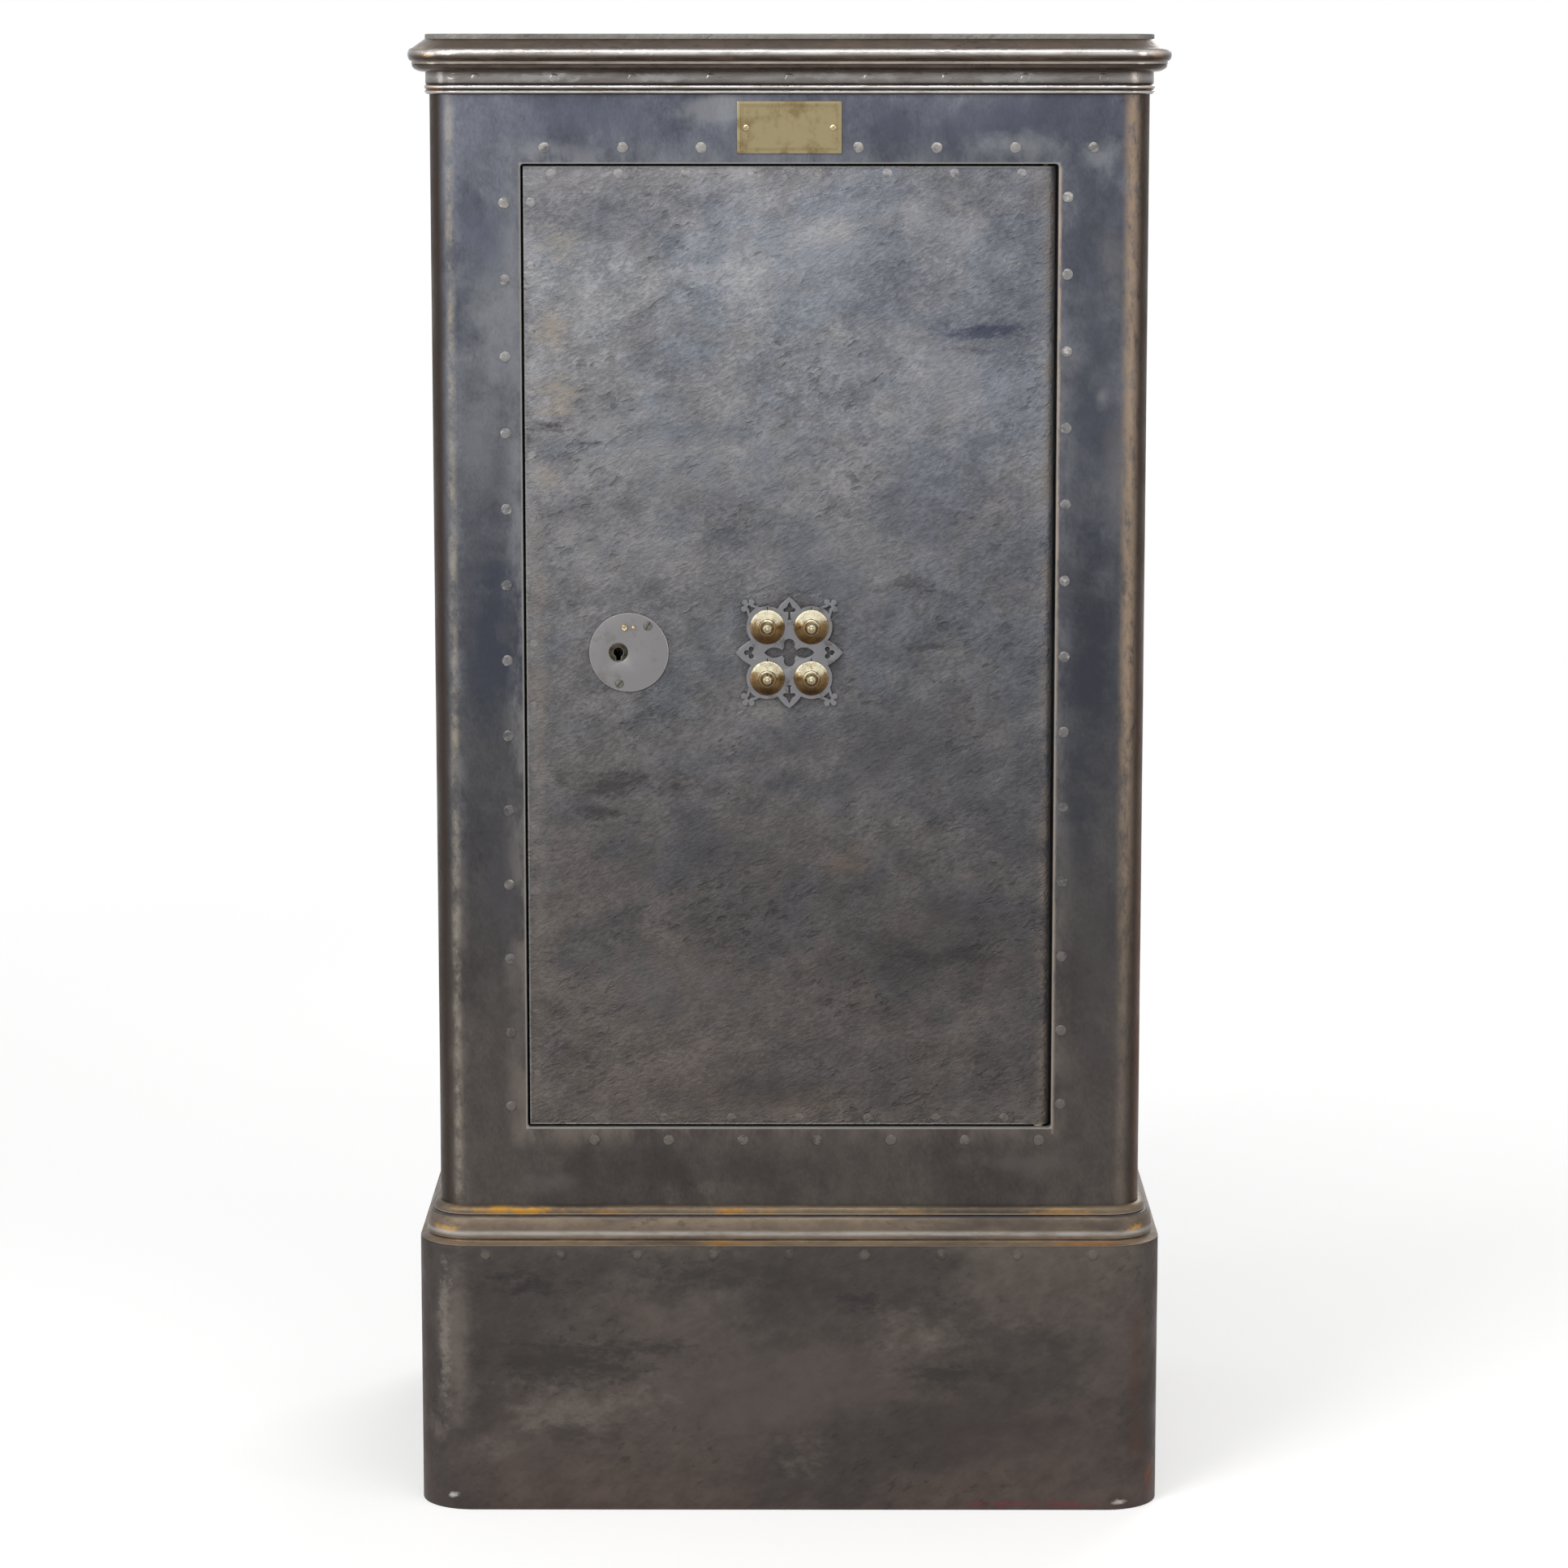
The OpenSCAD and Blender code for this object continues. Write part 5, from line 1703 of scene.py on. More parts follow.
@dataclass
class Casing:
    """Wrapped body plate with its opening, the top, the back, the floor and the rivet heads."""

    wall: float = 8.0
    open_r: float = 3.5
    rim: float = 0.9
    pitch: float = 22.0
    hollow: float = 0.22
    end: float = 20.0
    rivet_r: float = 6.0
    rivet_h: float = 1.2
    right_out: float = 9.5

    def shell_mesh(self) -> BMesh:
        """Builds the body's plate.

        Returns:
            The mesh of the plate, with the opening cut in its front.
        """
        bm = bmesh.new()
        levels = stops(SHELL.z0, SHELL.z1, self.pitch, (OPEN_LOW, OPEN_HIGH))
        section = chain(bm, [(-SHELL.x1, SHELL.y1, z) for z in levels])
        across = stops(-BODY_PLAN.corner_x, BODY_PLAN.corner_x, self.pitch, (-OPEN_HALF, OPEN_HALF))
        BODY_PLAN.sweep(bm, section, across, side_steps=20)
        middle = [
            f for f in bm.faces
            if abs(f.calc_center_median().x) < OPEN_HALF and OPEN_LOW < f.calc_center_median().z < OPEN_HIGH
        ]
        bmesh.ops.delete(bm, geom=middle, context="FACES")
        outward(bm)
        self.hollow_front(bm)
        thicken(bm, self.wall)
        self.round_opening(bm)
        return bm

    def hollow_front(self, bm: BMesh) -> None:
        """Gives the outer face slight hollows, as rolled plate has.

        Args:
            bm: The plate, not yet thick.
        """
        for vert in bm.verts:
            _, inward = BODY_PLAN.proud(vert.co)
            edge = min(abs(abs(vert.co.x) - OPEN_HALF), SHELL.z1 - vert.co.z, vert.co.z - SHELL.z0)
            if edge > 1 and vert.co.y < SHELL.y1 - self.end:
                vert.co += inward * self.hollow * (0.5 + 0.5 * wavy(vert.co, (120, 120, 140)))

    def in_hole(self, edge: BMEdge, slack: float) -> bool:
        """Whether an edge lies in the opening or on its walls.

        Args:
            edge: Edge of the thick plate.
            slack: How far outside the opening it may lie.

        Returns:
            Whether both its ends do.
        """
        return all(
            abs(v.co.x) < OPEN_HALF + slack and OPEN_LOW - slack < v.co.z < OPEN_HIGH + slack
            and v.co.y < SHELL.y0 + self.wall + 1
            for v in edge.verts
        )

    def round_opening(self, bm: BMesh) -> None:
        """Rounds the opening's corners, then its front rim.

        Args:
            bm: The thick plate.
        """
        near = 0.5
        corners = [
            e for e in bm.edges
            if self.in_hole(e, near)
            and abs(e.verts[0].co.y - e.verts[1].co.y) > self.wall / 2
            and all(abs(abs(v.co.x) - OPEN_HALF) < near for v in e.verts)
            and all(min(abs(v.co.z - OPEN_LOW), abs(v.co.z - OPEN_HIGH)) < near for v in e.verts)
        ]
        bevel(bm, corners, self.open_r, 4)
        rim = [
            e for e in bm.edges
            if len(e.link_faces) == 2 and e.calc_face_angle(0) > math.radians(50)
            and self.in_hole(e, 1.0) and all(v.co.y < SHELL.y0 + self.wall / 2 for v in e.verts)
        ]
        bevel(bm, rim, self.rim, 3)

    def rivet_rows(self) -> list[RivetRow]:
        """Places the rows of heads on the frame. The brass plate covers one rivet of the top row.

        Returns:
            The rows: top, bottom, left and right.
        """
        r, h = self.rivet_r, self.rivet_h
        box = Extent.of("frame_rivets")
        top_z, low_z, left_x, right_x = box.z1 - r, box.z0 + r, box.x0 + r, OPEN_HALF + self.right_out
        rows = (
            ((-251.0, top_z), (box.x1 - r, top_z), 8, (3,)),
            ((-205.0, low_z), (263.0, low_z), 7, ()),
            ((left_x, OPEN_HIGH - 39.5), (left_x, OPEN_LOW + 23.1), 13, ()),
            ((right_x, OPEN_HIGH - 33.5), (right_x, OPEN_LOW + 25.5), 13, ()),
        )
        return [RivetRow(first, last, count, SHELL.y0, r, h, skip) for first, last, count, skip in rows]

    def dress(self) -> None:
        """Builds and finishes the casing's outer plates and rivets."""
        body = Body.CASING.value
        settle(self.shell_mesh(), "safe_body_plate", body, FRAME_IRON, ["body_shell"])
        heads = heads_of(self.rivet_rows())
        settle(heads, "frame_rivet_heads", body, RIVET_STEEL, ["frame_rivets"])
        Fitting("top_plate", "top_cover", TOP_IRON, Slot.BODY_IRON, 1.4, 3).dress(body)
        for node, name in (("back_plate", "back_cover"), ("body_floor", "body_bottom")):
            Fitting(node, name, PLAIN_IRON, Slot.BODY_IRON, 0.8).dress(body)


@dataclass
class Moulding:
    """A moulding swept round three sides, with its rivets if it has any."""

    name: str
    node: str
    finish: Finish
    section: list[tuple[float, float]]
    hollow: float = 0.28
    pitch: float = 11.0
    sharp_deg: float = 40.0
    rivets: RivetRow | None = None

    def mesh(self) -> BMesh:
        """Sweeps the section and closes its two ends.

        Returns:
            The mesh of the moulding.
        """
        bm = bmesh.new()
        back = Extent.of(self.node).y1
        plan = Plan(back=back)
        edges = chain(bm, [(-plan.half - u, back, z) for u, z in self.section], closed=True)
        across = stops(-plan.corner_x, plan.corner_x, self.pitch)
        last = plan.sweep(bm, edges, across, side_steps=26, turn_steps=16)
        bmesh.ops.edgeloop_fill(bm, edges=edges)
        bmesh.ops.edgeloop_fill(bm, edges=last)
        outward(bm)
        plan.work_by_hand(bm, self.hollow)
        if self.rivets:
            self.rivets.hammer(bm)
            face_out(bm)
        return bm

    def dress(self) -> None:
        """Builds and finishes the moulding."""
        settle(
            self.mesh(), self.name, Body.CASING.value, self.finish, [self.node],
            math.radians(self.sharp_deg),
        )


def cornice_section() -> list[tuple[float, float]]:
    """Section of the cornice from its lowest edge up.

    Returns:
        Reach from the body's face and height of each point.
    """
    low, high = CORNICE.z0, CORNICE.z1
    bead_u, band_u, arris_u, nose_r = 3.0, BAND_OUT, 18.0, 4.0
    low_z, low_r = low + 2.6, 1.7
    up_z, up_r = low + 7.4, 2.2
    band_z = low + 10.5
    cove_z = band_z + 12.0
    arris_z = cove_z + 7.7
    nose_z = arris_z + 3.4
    nose_h = 13.0
    return [
        (0.0, low), (bead_u - 0.8, low),
        *arc(bead_u, low_z, low_r, low_r, -75, 75, 8),
        *arc(bead_u, up_z, up_r, up_r, -75, 75, 10),
        (bead_u, band_z), (band_u - 0.5, band_z), (band_u, band_z + 0.5), (band_u, cove_z),
        *arc(band_u, arris_z, 14.0, 7.7, -82, -6, 9),
        (arris_u - 0.6, arris_z - 0.4), (arris_u, arris_z + 0.3), (arris_u, nose_z - 0.5),
        *arc(arris_u, nose_z + nose_h / 2, nose_r, nose_h / 2, -84, 84, 16),
        (arris_u - 1.2, nose_z + nose_h + 0.6), (band_u + 1.0, high - 0.6), (band_u, high), (0.0, high),
    ]


def foot_section() -> list[tuple[float, float]]:
    """Section of the bead at the body's foot.

    Returns:
        Reach and height of each point, as the cornice's.
    """
    low = Extent.of("foot_bead").z0
    out, edge, rise, spring = 7.0, 0.8, 3.2, 3.5
    flat = [(0.0, low), (out - edge, low), (out, low + edge), (out, low + rise)]
    return [*flat, *arc(0.0, low + spring, out, 6.0, 4, 90, 12)]


def plinth_section() -> list[tuple[float, float]]:
    """Section of the plinth's moulding: ledge, quirk, ovolo and the seat under the body.

    Returns:
        Reach and height of each point, as the cornice's.
    """
    box = Extent.of("plinth_moulding")
    low, top = box.z0, box.z1
    ledge, seat, in_x, round_x, spring = 10.0, 10.0, 7.0, 8.0, 9.5
    form = (
        (21.4, 0.0), (22.0, 0.35), (21.6, 0.7), (14.4, 3.1), (14.0, 3.7), (14.0, 5.6), (14.4, 6.0),
        (15.0, 6.5), (15.0, spring),
    )
    return [
        (-ledge, low), *((u, low + rise) for u, rise in form),
        *arc(in_x, low + spring, round_x, top - low - spring, 4, 88, 16),
        (in_x, top), (0.0, top), (0.0, top - seat), (-ledge, top - seat),
    ]


@dataclass
class Plinth:
    """Box under the body: one wrapped plate, a back and a deck."""

    out: float = 22.0
    wall: float = 6.0
    pitch: float = 24.0
    hollow: float = 0.3
    rim: float = 0.8
    rivet_drop: float = 9.0
    rivet_r: float = 6.0
    rivet_h: float = 1.2

    def box_mesh(self) -> BMesh:
        """Builds the wrapped plate with its row of rivets.

        Returns:
            The mesh of the plate.
        """
        bm = bmesh.new()
        box = Extent.of("plinth_box")
        wide = Plan(box.x1, BODY_PLAN.front - self.out, PLINTH_BACK.y0, BODY_PLAN.radius + self.out)
        levels = stops(box.z0, box.z1, self.pitch)
        section = chain(bm, [(-wide.half, wide.back, z) for z in levels])
        across = stops(-wide.corner_x, wide.corner_x, self.pitch)
        wide.sweep(bm, section, across, side_steps=20, turn_steps=18)
        outward(bm)
        wide.work_by_hand(bm, self.hollow, reach=-1.0)
        thicken(bm, self.wall)
        ease(bm, self.rim, 2, 60)
        first, last = ((x, box.z1 - self.rivet_drop) for x in ROW_ENDS)
        RivetRow(first, last, ROW_COUNT, wide.front, self.rivet_r, self.rivet_h).hammer(bm)
        face_out(bm)
        return bm

    def dress(self) -> None:
        """Builds and finishes the plinth."""
        body = Body.CASING.value
        settle(self.box_mesh(), "plinth_wrap", body, PLINTH_IRON, ["plinth_box"])
        for node, name in (("plinth_back", "plinth_back_board"), ("plinth_deck", "plinth_top_board")):
            Fitting(node, name, PLAIN_IRON, Slot.PLINTH_IRON, 0.8).dress(body)


@dataclass
class Interior:
    """Jamb, bushes, lining and shelves."""

    arris: float = 1.0
    thin_arris: float = 0.5

    def fittings(self) -> list[Fitting]:
        """Lists what is inside the casing.

        Returns:
            The fittings: jamb, painted plates and bushes.
        """
        jambs = [
            Fitting(f"jamb_{side}", f"jamb_bar_{side}", PLAIN_IRON, Slot.BODY_IRON, self.arris)
            for side in ("lock_side", "hinge_side", "head", "sill")
        ]
        painted = [
            Fitting(node, f"{node}_painted", LINING_PAINT, Slot.LINING_PAINT, self.thin_arris)
            for node in ("inner_lining", "shelf_upper", "shelf_lower", "shelf_battens")
        ]
        bushes = Fitting("pivot_bushes", "pivot_bush_pair", PLATE_BRASS, Slot.BRASS, 0.3)
        return [*jambs, *painted, bushes]

    def dress(self) -> None:
        """Finishes the inside of the casing."""
        for fitting in self.fittings():
            fitting.dress(Body.CASING.value)
        give_finish("fire_filling", FILLING)


def give_finish(node: str, finish: Finish) -> None:
    """Puts a finish on a CAD node that stays as it is.

    Args:
        node: Name of the CAD node.
        finish: The finish.
    """
    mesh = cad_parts[node].data
    mesh.materials.clear()
    mesh.materials.append(finish.material())
    log.info("%s keeps its CAD form: %s", node, finish.name)


@dataclass
class MakerPlate:
    """Bare brass plate with a sunk field inside a raised double border, and two screws."""

    corner: float = 1.5
    rim: float = 3.4
    sink: float = 0.45
    line_in: float = 1.1
    line: float = 0.7
    rise: float = 0.3
    screw_in: float = 9.0
    screw_r: float = 3.6
    screw_h: float = 2.0
    screw_rim: float = 0.3

    def ring(self, bm: BMesh, inset: float, y: float) -> list[BMEdge]:
        """Draws a round-cornered outline inside the plate's own.

        Args:
            bm: Mesh that takes it.
            inset: Distance inside the plate's edge.
            y: Depth of the outline.

        Returns:
            The outline's edges.
        """
        half_w = PLATE.half_x - inset
        half_h = PLATE.half_z - inset
        r = max(self.corner - inset, 0.15)
        points = [
            (PLATE.mid_x + side * (half_w - r) + px, y, PLATE.mid_z + end * (half_h - r) + pz)
            for side, end, start in ((1, 1, 0), (-1, 1, 90), (-1, -1, 180), (1, -1, 270))
            for px, pz in arc(0, 0, r, r, start, start + 90, 4)
        ]
        return chain(bm, points, closed=True)

    def plate_mesh(self) -> BMesh:
        """Builds the plate from outlines, one inside the other.

        Returns:
            The mesh of the plate.
        """
        bm = bmesh.new()
        face, sunk = PLATE.y0, PLATE.y0 + self.sink
        slope, ramp = 0.4, 0.2
        line_from = self.rim + slope + self.line_in
        steps = [
            (0.0, PLATE.y1), (0.0, face + 0.4), (0.15, face + 0.12), (0.5, face), (self.rim, face),
            (self.rim + slope, sunk), (line_from, sunk), (line_from + ramp, sunk - self.rise),
            (line_from + ramp + self.line, sunk - self.rise), (line_from + 2 * ramp + self.line, sunk),
        ]
        rings = [self.ring(bm, inset, y) for inset, y in steps]
        for outer, inner in zip(rings, rings[1:]):
            bmesh.ops.bridge_loops(bm, edges=outer + inner)
        bmesh.ops.edgeloop_fill(bm, edges=rings[0])
        bmesh.ops.edgeloop_fill(bm, edges=rings[-1])
        face_out(bm)
        return bm

    def screw_mesh(self) -> BMesh:
        """Builds the two domed screw heads.

        Returns:
            The mesh of both.
        """
        bm = bmesh.new()
        r, h, rim = self.screw_r, self.screw_h, self.screw_rim
        dome = [(r * math.cos(a), rim + (h - rim) * math.sin(a)) for a in (0.25, 0.6, 0.95, 1.3)]
        for x in (PLATE.x0 + self.screw_in, PLATE.x1 - self.screw_in):
            lathe(bm, [(r, -0.6), (r, 0.25), *dome, (0, h)], x, PLATE.y0 + self.sink, PLATE.mid_z, 28)
        face_out(bm)
        return bm

    def dress(self) -> None:
        """Builds and finishes the plate and its screws."""
        body = Body.CASING.value
        settle(self.plate_mesh(), "brass_name_plate_bare", body, PLATE_BRASS, ["maker_plate"])
        settle(self.screw_mesh(), "brass_plate_screws", body, SCREW_BRASS, ["plate_screws"])


@dataclass
class DoorLeaf:
    """Door plate with its own flush rivets, pan, filling and dogs."""

    rim: float = 1.3
    pitch: float = 21.0
    hollow: float = 0.30
    margin: float = 12.0
    heel: float = 10.0
    wave: float = 64.0
    head_r: float = 5.2
    head_h: float = 0.4
    head_in: float = 7.0

    def plate_mesh(self) -> BMesh:
        """Copies the plate, rounds its edges and gives its face slight hollows.

        Returns:
            The mesh of the plate.
        """
        bm = cad_copy("door_plate")
        ease(bm, self.rim, 3, 60)
        for x in stops(DOOR.x0 + self.margin, DOOR.x1 - self.heel - self.margin, self.pitch):
            self.cut(bm, (x, 0, 0), (1, 0, 0))
        for z in stops(DOOR.z0 + self.margin, DOOR.z1 - self.margin, self.pitch):
            self.cut(bm, (0, 0, z), (0, 0, 1))
        for vert in bm.verts:
            x, y, z = vert.co
            edge = min(x - DOOR.x0, DOOR.x1 - self.heel - x, z - DOOR.z0, DOOR.z1 - z)
            if y < DOOR.y0 + 0.05 and edge > 4:
                uneven = 0.5 + noise.noise(Vector((x / self.wave, 0, z / self.wave)))
                vert.co.y += self.hollow * max(0.0, min(1.0, uneven))
        return bm

    @staticmethod
    def cut(bm: BMesh, place: tuple[float, float, float], across: tuple[float, float, float]) -> None:
        """Cuts every face along a plane without parting the mesh."""
        whole = [*bm.verts, *bm.edges, *bm.faces]
        bmesh.ops.bisect_plane(bm, geom=whole, dist=0.02, plane_co=place, plane_no=across)

    def rivet_rows(self) -> list[RivetRow]:
        """Places the rows of flush heads near the plate's edges. None shows at the heel.

        Returns:
            The rows: top, bottom and left.
        """
        top_z, low_z, left_x = DOOR.z1 - self.head_in, DOOR.z0 + self.head_in, DOOR.x0 + self.head_in + 0.5
        rows = (
            ((-244, top_z), (238, top_z), 8),
            ((-204, low_z), (226, low_z), 7),
            ((left_x, 1378), (left_x, 466), 15),
        )
        face, high = DOOR.y0 + self.hollow, self.head_h + self.hollow
        return [RivetRow(first, last, count, face, self.head_r, high) for first, last, count in rows]

    def dress(self) -> None:
        """Builds and finishes the door."""
        body = Body.DOOR.value
        settle(self.plate_mesh(), "door_leaf_plate", body, DOOR_IRON, ["door_plate"])
        settle(heads_of(self.rivet_rows()), "door_rivet_heads", body, FLUSH_IRON)
        for fitting in (
            Fitting("door_pan", "door_pan_painted", LINING_PAINT, Slot.LINING_PAINT, 1.0, 3),
            Fitting("hinge_dogs", "hinge_side_dogs", WORKS_STEEL, Slot.SATIN_STEEL, 1.5, 3),
            Fitting("pivot_pins", "door_pivot_pins", BARREL_STEEL, Slot.BRIGHT_STEEL, 0.5),
        ):
            fitting.dress(body)
        give_finish("door_core", FILLING)


@dataclass(frozen=True)
class SlottedScrew:
    """A slotted head on the lock disc.

    Attributes:
        across: Place across from the disc's middle.
        up: Height above it.
        radius: Radius of the head's bed.
        turn_deg: How far the slot is turned from level.
    """

    across: float
    up: float
    radius: float
    turn_deg: float

    @property
    def centre(self) -> tuple[float, float]:
        """Place of the head across, and its height."""
        return DISC.mid_x + self.across, DISC.mid_z + self.up


@dataclass
class LockDisc:
    """Round steel plate with two brass studs, two screws and the key barrel."""

    arris: float = 0.35
    stud_high: float = 2.6
    stud_low: float = 1.7
    small_r: float = 2.4
    screws: tuple[SlottedScrew, ...] = (
        SlottedScrew(19.9, 27.5, 4.7, -60.0), SlottedScrew(-9.8, -32.9, 4.35, -48.0),
    )
    screw_high: float = 0.75
    slot_half: float = 0.5
    rim: float = 0.4

    def screw_head(self, bm: BMesh, screw: SlottedScrew) -> None:
        """Builds a slotted head as two segments of a disc, either side of its slot.

        Args:
            bm: Mesh that takes the head.
            screw: The screw.
        """
        x, z = screw.centre
        r = screw.radius - self.rim
        start = math.degrees(math.asin(self.slot_half / r))
        for side in (0.0, 180.0):
            first = start + side - screw.turn_deg
            outline = arc(0, 0, r, r, first, 180 - start + side - screw.turn_deg, 14)
            edges = chain(bm, [(x + u, DISC.y0, z + w) for u, w in outline], closed=True)
            base = bmesh.ops.edgeloop_fill(bm, edges=edges)["faces"]
            raised = verts_of(bmesh.ops.extrude_face_region(bm, geom=base)["geom"])
            bmesh.ops.translate(bm, vec=(0, -self.screw_high, 0), verts=raised)

    def screw_meshes(self) -> tuple[BMesh, BMesh]:
        """Builds the two heads, and a near-black disc under each that shows in the slot and round the rim
        as painted shade.

        Returns:
            The mesh of the heads and the mesh of the painted shade discs.
        """
        heads, shade_discs = bmesh.new(), bmesh.new()
        bed = 0.05
        for screw in self.screws:
            self.screw_head(heads, screw)
            x, z = screw.centre
            lathe(shade_discs, [(screw.radius, -0.2), (screw.radius, bed), (0, bed)], x, DISC.y0, z, 32)
        face_out(heads)
        face_out(shade_discs)
        ease(heads, 0.12, 2, 50)
        return heads, shade_discs

    def stud_mesh(self) -> BMesh:
        """Turns the ringed stud and the small domed one.

        Returns:
            The mesh of both.
        """
        bm = bmesh.new()
        box = Extent.of("lock_studs")
        r, h, low = box.half_z, self.stud_high, self.stud_high - 0.9
        ring = [
            (r, -0.4), (r, 1.2), (r - 0.5, h - 0.2), (r - 1.1, h), (r - 1.8, h - 0.5), (r - 2.3, low),
            (0, low),
        ]
        lathe(bm, ring, box.x0 + r, DISC.y0, box.mid_z, 32)
        small = self.small_r
        knob = [(small, -0.4), *arc(0, 0.2, small, self.stud_low, 0, 90, 6)]
        lathe(bm, knob, box.x1 - small, DISC.y0, box.mid_z, 28)
        face_out(bm)
        return bm

    def dress(self) -> None:
        """Builds and finishes the disc and what stands on it."""
        body, barrel = Body.DOOR.value, Body.BARREL.value
        Fitting("lock_disc", "lock_plate_round", DISC_STEEL, Slot.SATIN_STEEL, self.arris).dress(body)
        heads, shade_discs = self.screw_meshes()
        settle(heads, "lock_plate_screws", body, SCREW_STEEL, ["lock_screws"])
        # Painted shade: a near-black disc under each screw head, seen in its slot and round its rim.
        settle(shade_discs, "lock_screw_painted_shade", body, WAX_AND_SHADE_BLACK)
        settle(self.stud_mesh(), "lock_plate_studs", body, STUD_BRASS, ["lock_studs"])
        Fitting("key_barrel", "key_barrel_bored", BARREL_STEEL, Slot.SATIN_STEEL, self.arris).dress(barrel)
        Fitting("pinion", "barrel_pinion", WORKS_STEEL, Slot.BRIGHT_STEEL, 0.25).dress(barrel)


@dataclass
class PiercedPlate:
    """Pierced plate behind the dials, with a filled index mark over each dial."""

    arris: float = 0.35
    mark_w: float = 1.2
    mark_from: float = 16.1
    mark_to: float = 20.7
    mark_round: float = 0.25
    mark_sunk: float = 0.1
    mark_deep: float = 0.75

    def marks(self) -> BMesh:
        """Builds the dark filling of the index slots.

        Returns:
            The mesh of the four marks.
        """
        bm = bmesh.new()
        face = Extent.of("escutcheon").y0
        half = self.mark_w / 2
        for place in DialPlace:
            x, z = place.centre
            low, high = z + self.mark_from, z + self.mark_to
            top = [(x + u, high + w) for u, w in arc(0, 0, half, self.mark_round, 0, 180, 6)]
            outline = [(x - half, low), (x + half, low), *top]
            edges = chain(bm, [(u, face + self.mark_deep, w) for u, w in outline], closed=True)
            bmesh.ops.edgeloop_fill(bm, edges=edges)
        raised = verts_of(bmesh.ops.extrude_face_region(bm, geom=bm.faces[:])["geom"])
        bmesh.ops.translate(bm, vec=(0, self.mark_sunk - self.mark_deep, 0), verts=raised)
        face_out(bm)
        return bm

    def dress(self) -> None:
        """Builds and finishes the plate and its marks."""
        body = Body.DOOR.value
        Fitting(
            "escutcheon", "dial_plate_pierced", PIERCED_STEEL, Slot.SATIN_STEEL, self.arris, angle=50,
        ).dress(body)
        settle(self.marks(), "dial_index_marks", body, WAX_AND_SHADE_BLACK)


class DialPlace(Enum):
    """The four dials."""

    UPPER_LEFT = "upper_left"
    UPPER_RIGHT = "upper_right"
    LOWER_LEFT = "lower_left"
    LOWER_RIGHT = "lower_right"

    @property
    def centre(self) -> tuple[float, float]:
        """Place of the dial's axis across, and its height."""
        box = Extent.of(f"knob_{self.value}")
        return box.mid_x, box.mid_z

    @property
    def body(self) -> str:
        """Body that the dial rides on."""
        return f"dial_{self.value}"


@dataclass
class DialKnob:
    """Turned brass knob: a fluted cone, a ringed collar, a dome and a small ball."""

    place: DialPlace
    flutes: int = 60
    steps_per_flute: int = 4
    flute_depth: float = 0.26
    flute_from: float = 10.6
    flute_run: float = 4.0
    rim_r: float = 18.0
    sharp_deg: float = 24.0

    def profile(self) -> list[tuple[float, float]]:
        """Profile from the back of the skirt to the tip.

        Returns:
            Radius and reach of each point.
        """
        skirt = [(0.0, 0.0), (self.rim_r, 0.0), (self.rim_r, 0.9), (17.7, 1.45)]
        cone = [(17.2 - (17.2 - 8.9) * i / 5, 1.8 + (9.4 - 1.8) * i / 5) for i in range(6)]
        bead = arc(8.2, 11.3, 1.1, 1.1, -80, 80, 7)
        collar = [(8.2, 9.8), (8.2, 10.2), *bead, (8.2, 12.5), (7.9, 12.8), (6.5, 12.95), (6.2, 13.3)]
        dome = [(6.0, 14.1), *arc(0.0, 13.6, 5.6, 5.4, 12, 66, 7)]
        ball = arc(0.0, 18.9, 2.3, 2.3, -34, 90, 9)
        return [*skirt, *cone, *collar, *dome, *ball]

    def knob_mesh(self) -> BMesh:
        """Turns the profile and cuts the flutes into the cone.

        Returns:
            The mesh of the knob.
        """
        bm = bmesh.new()
        x, z = self.place.centre
        back = Extent.of(f"knob_{self.place.value}").y1
        steps = self.flutes * self.steps_per_flute
        lathe(bm, self.profile(), x, back, z, steps)
        outward(bm, 0.002)
        for vert in bm.verts:
            radius = math.hypot(vert.co.x - x, vert.co.z - z)
            reach = back - vert.co.y
            if radius < self.flute_from or reach < 0.5:
                continue
            step = round(math.atan2(vert.co.z - z, vert.co.x - x) / math.tau * steps)
            if step % self.steps_per_flute == 0:
                part = min(1.0, (radius - self.flute_from) / self.flute_run)
                uneven = 0.6 + 0.8 * abs(noise.noise(Vector((step * 0.73, x, z))))
                vert.co.y += self.flute_depth * part * min(1.0, uneven)
        return bm

    def dress(self) -> None:
        """Builds and finishes the knob, its spindle and its notched wheel."""
        x, z = self.place.centre
        key, body = self.place.value, self.place.body
        settle(
            self.knob_mesh(), f"dial_knob_{key}", body, TurnedBrass(f"dial_brass_{key}", x, z),
            [f"knob_{key}"], math.radians(self.sharp_deg),
        )
        for fitting in (
            Fitting(f"spindle_{key}", f"dial_spindle_{key}", WORKS_STEEL, Slot.BRIGHT_STEEL, 0.3),
            Fitting(f"wheel_{key}", f"dial_wheel_{key}", PLATE_BRASS, Slot.BRASS, 0.4),
        ):
            fitting.dress(body)


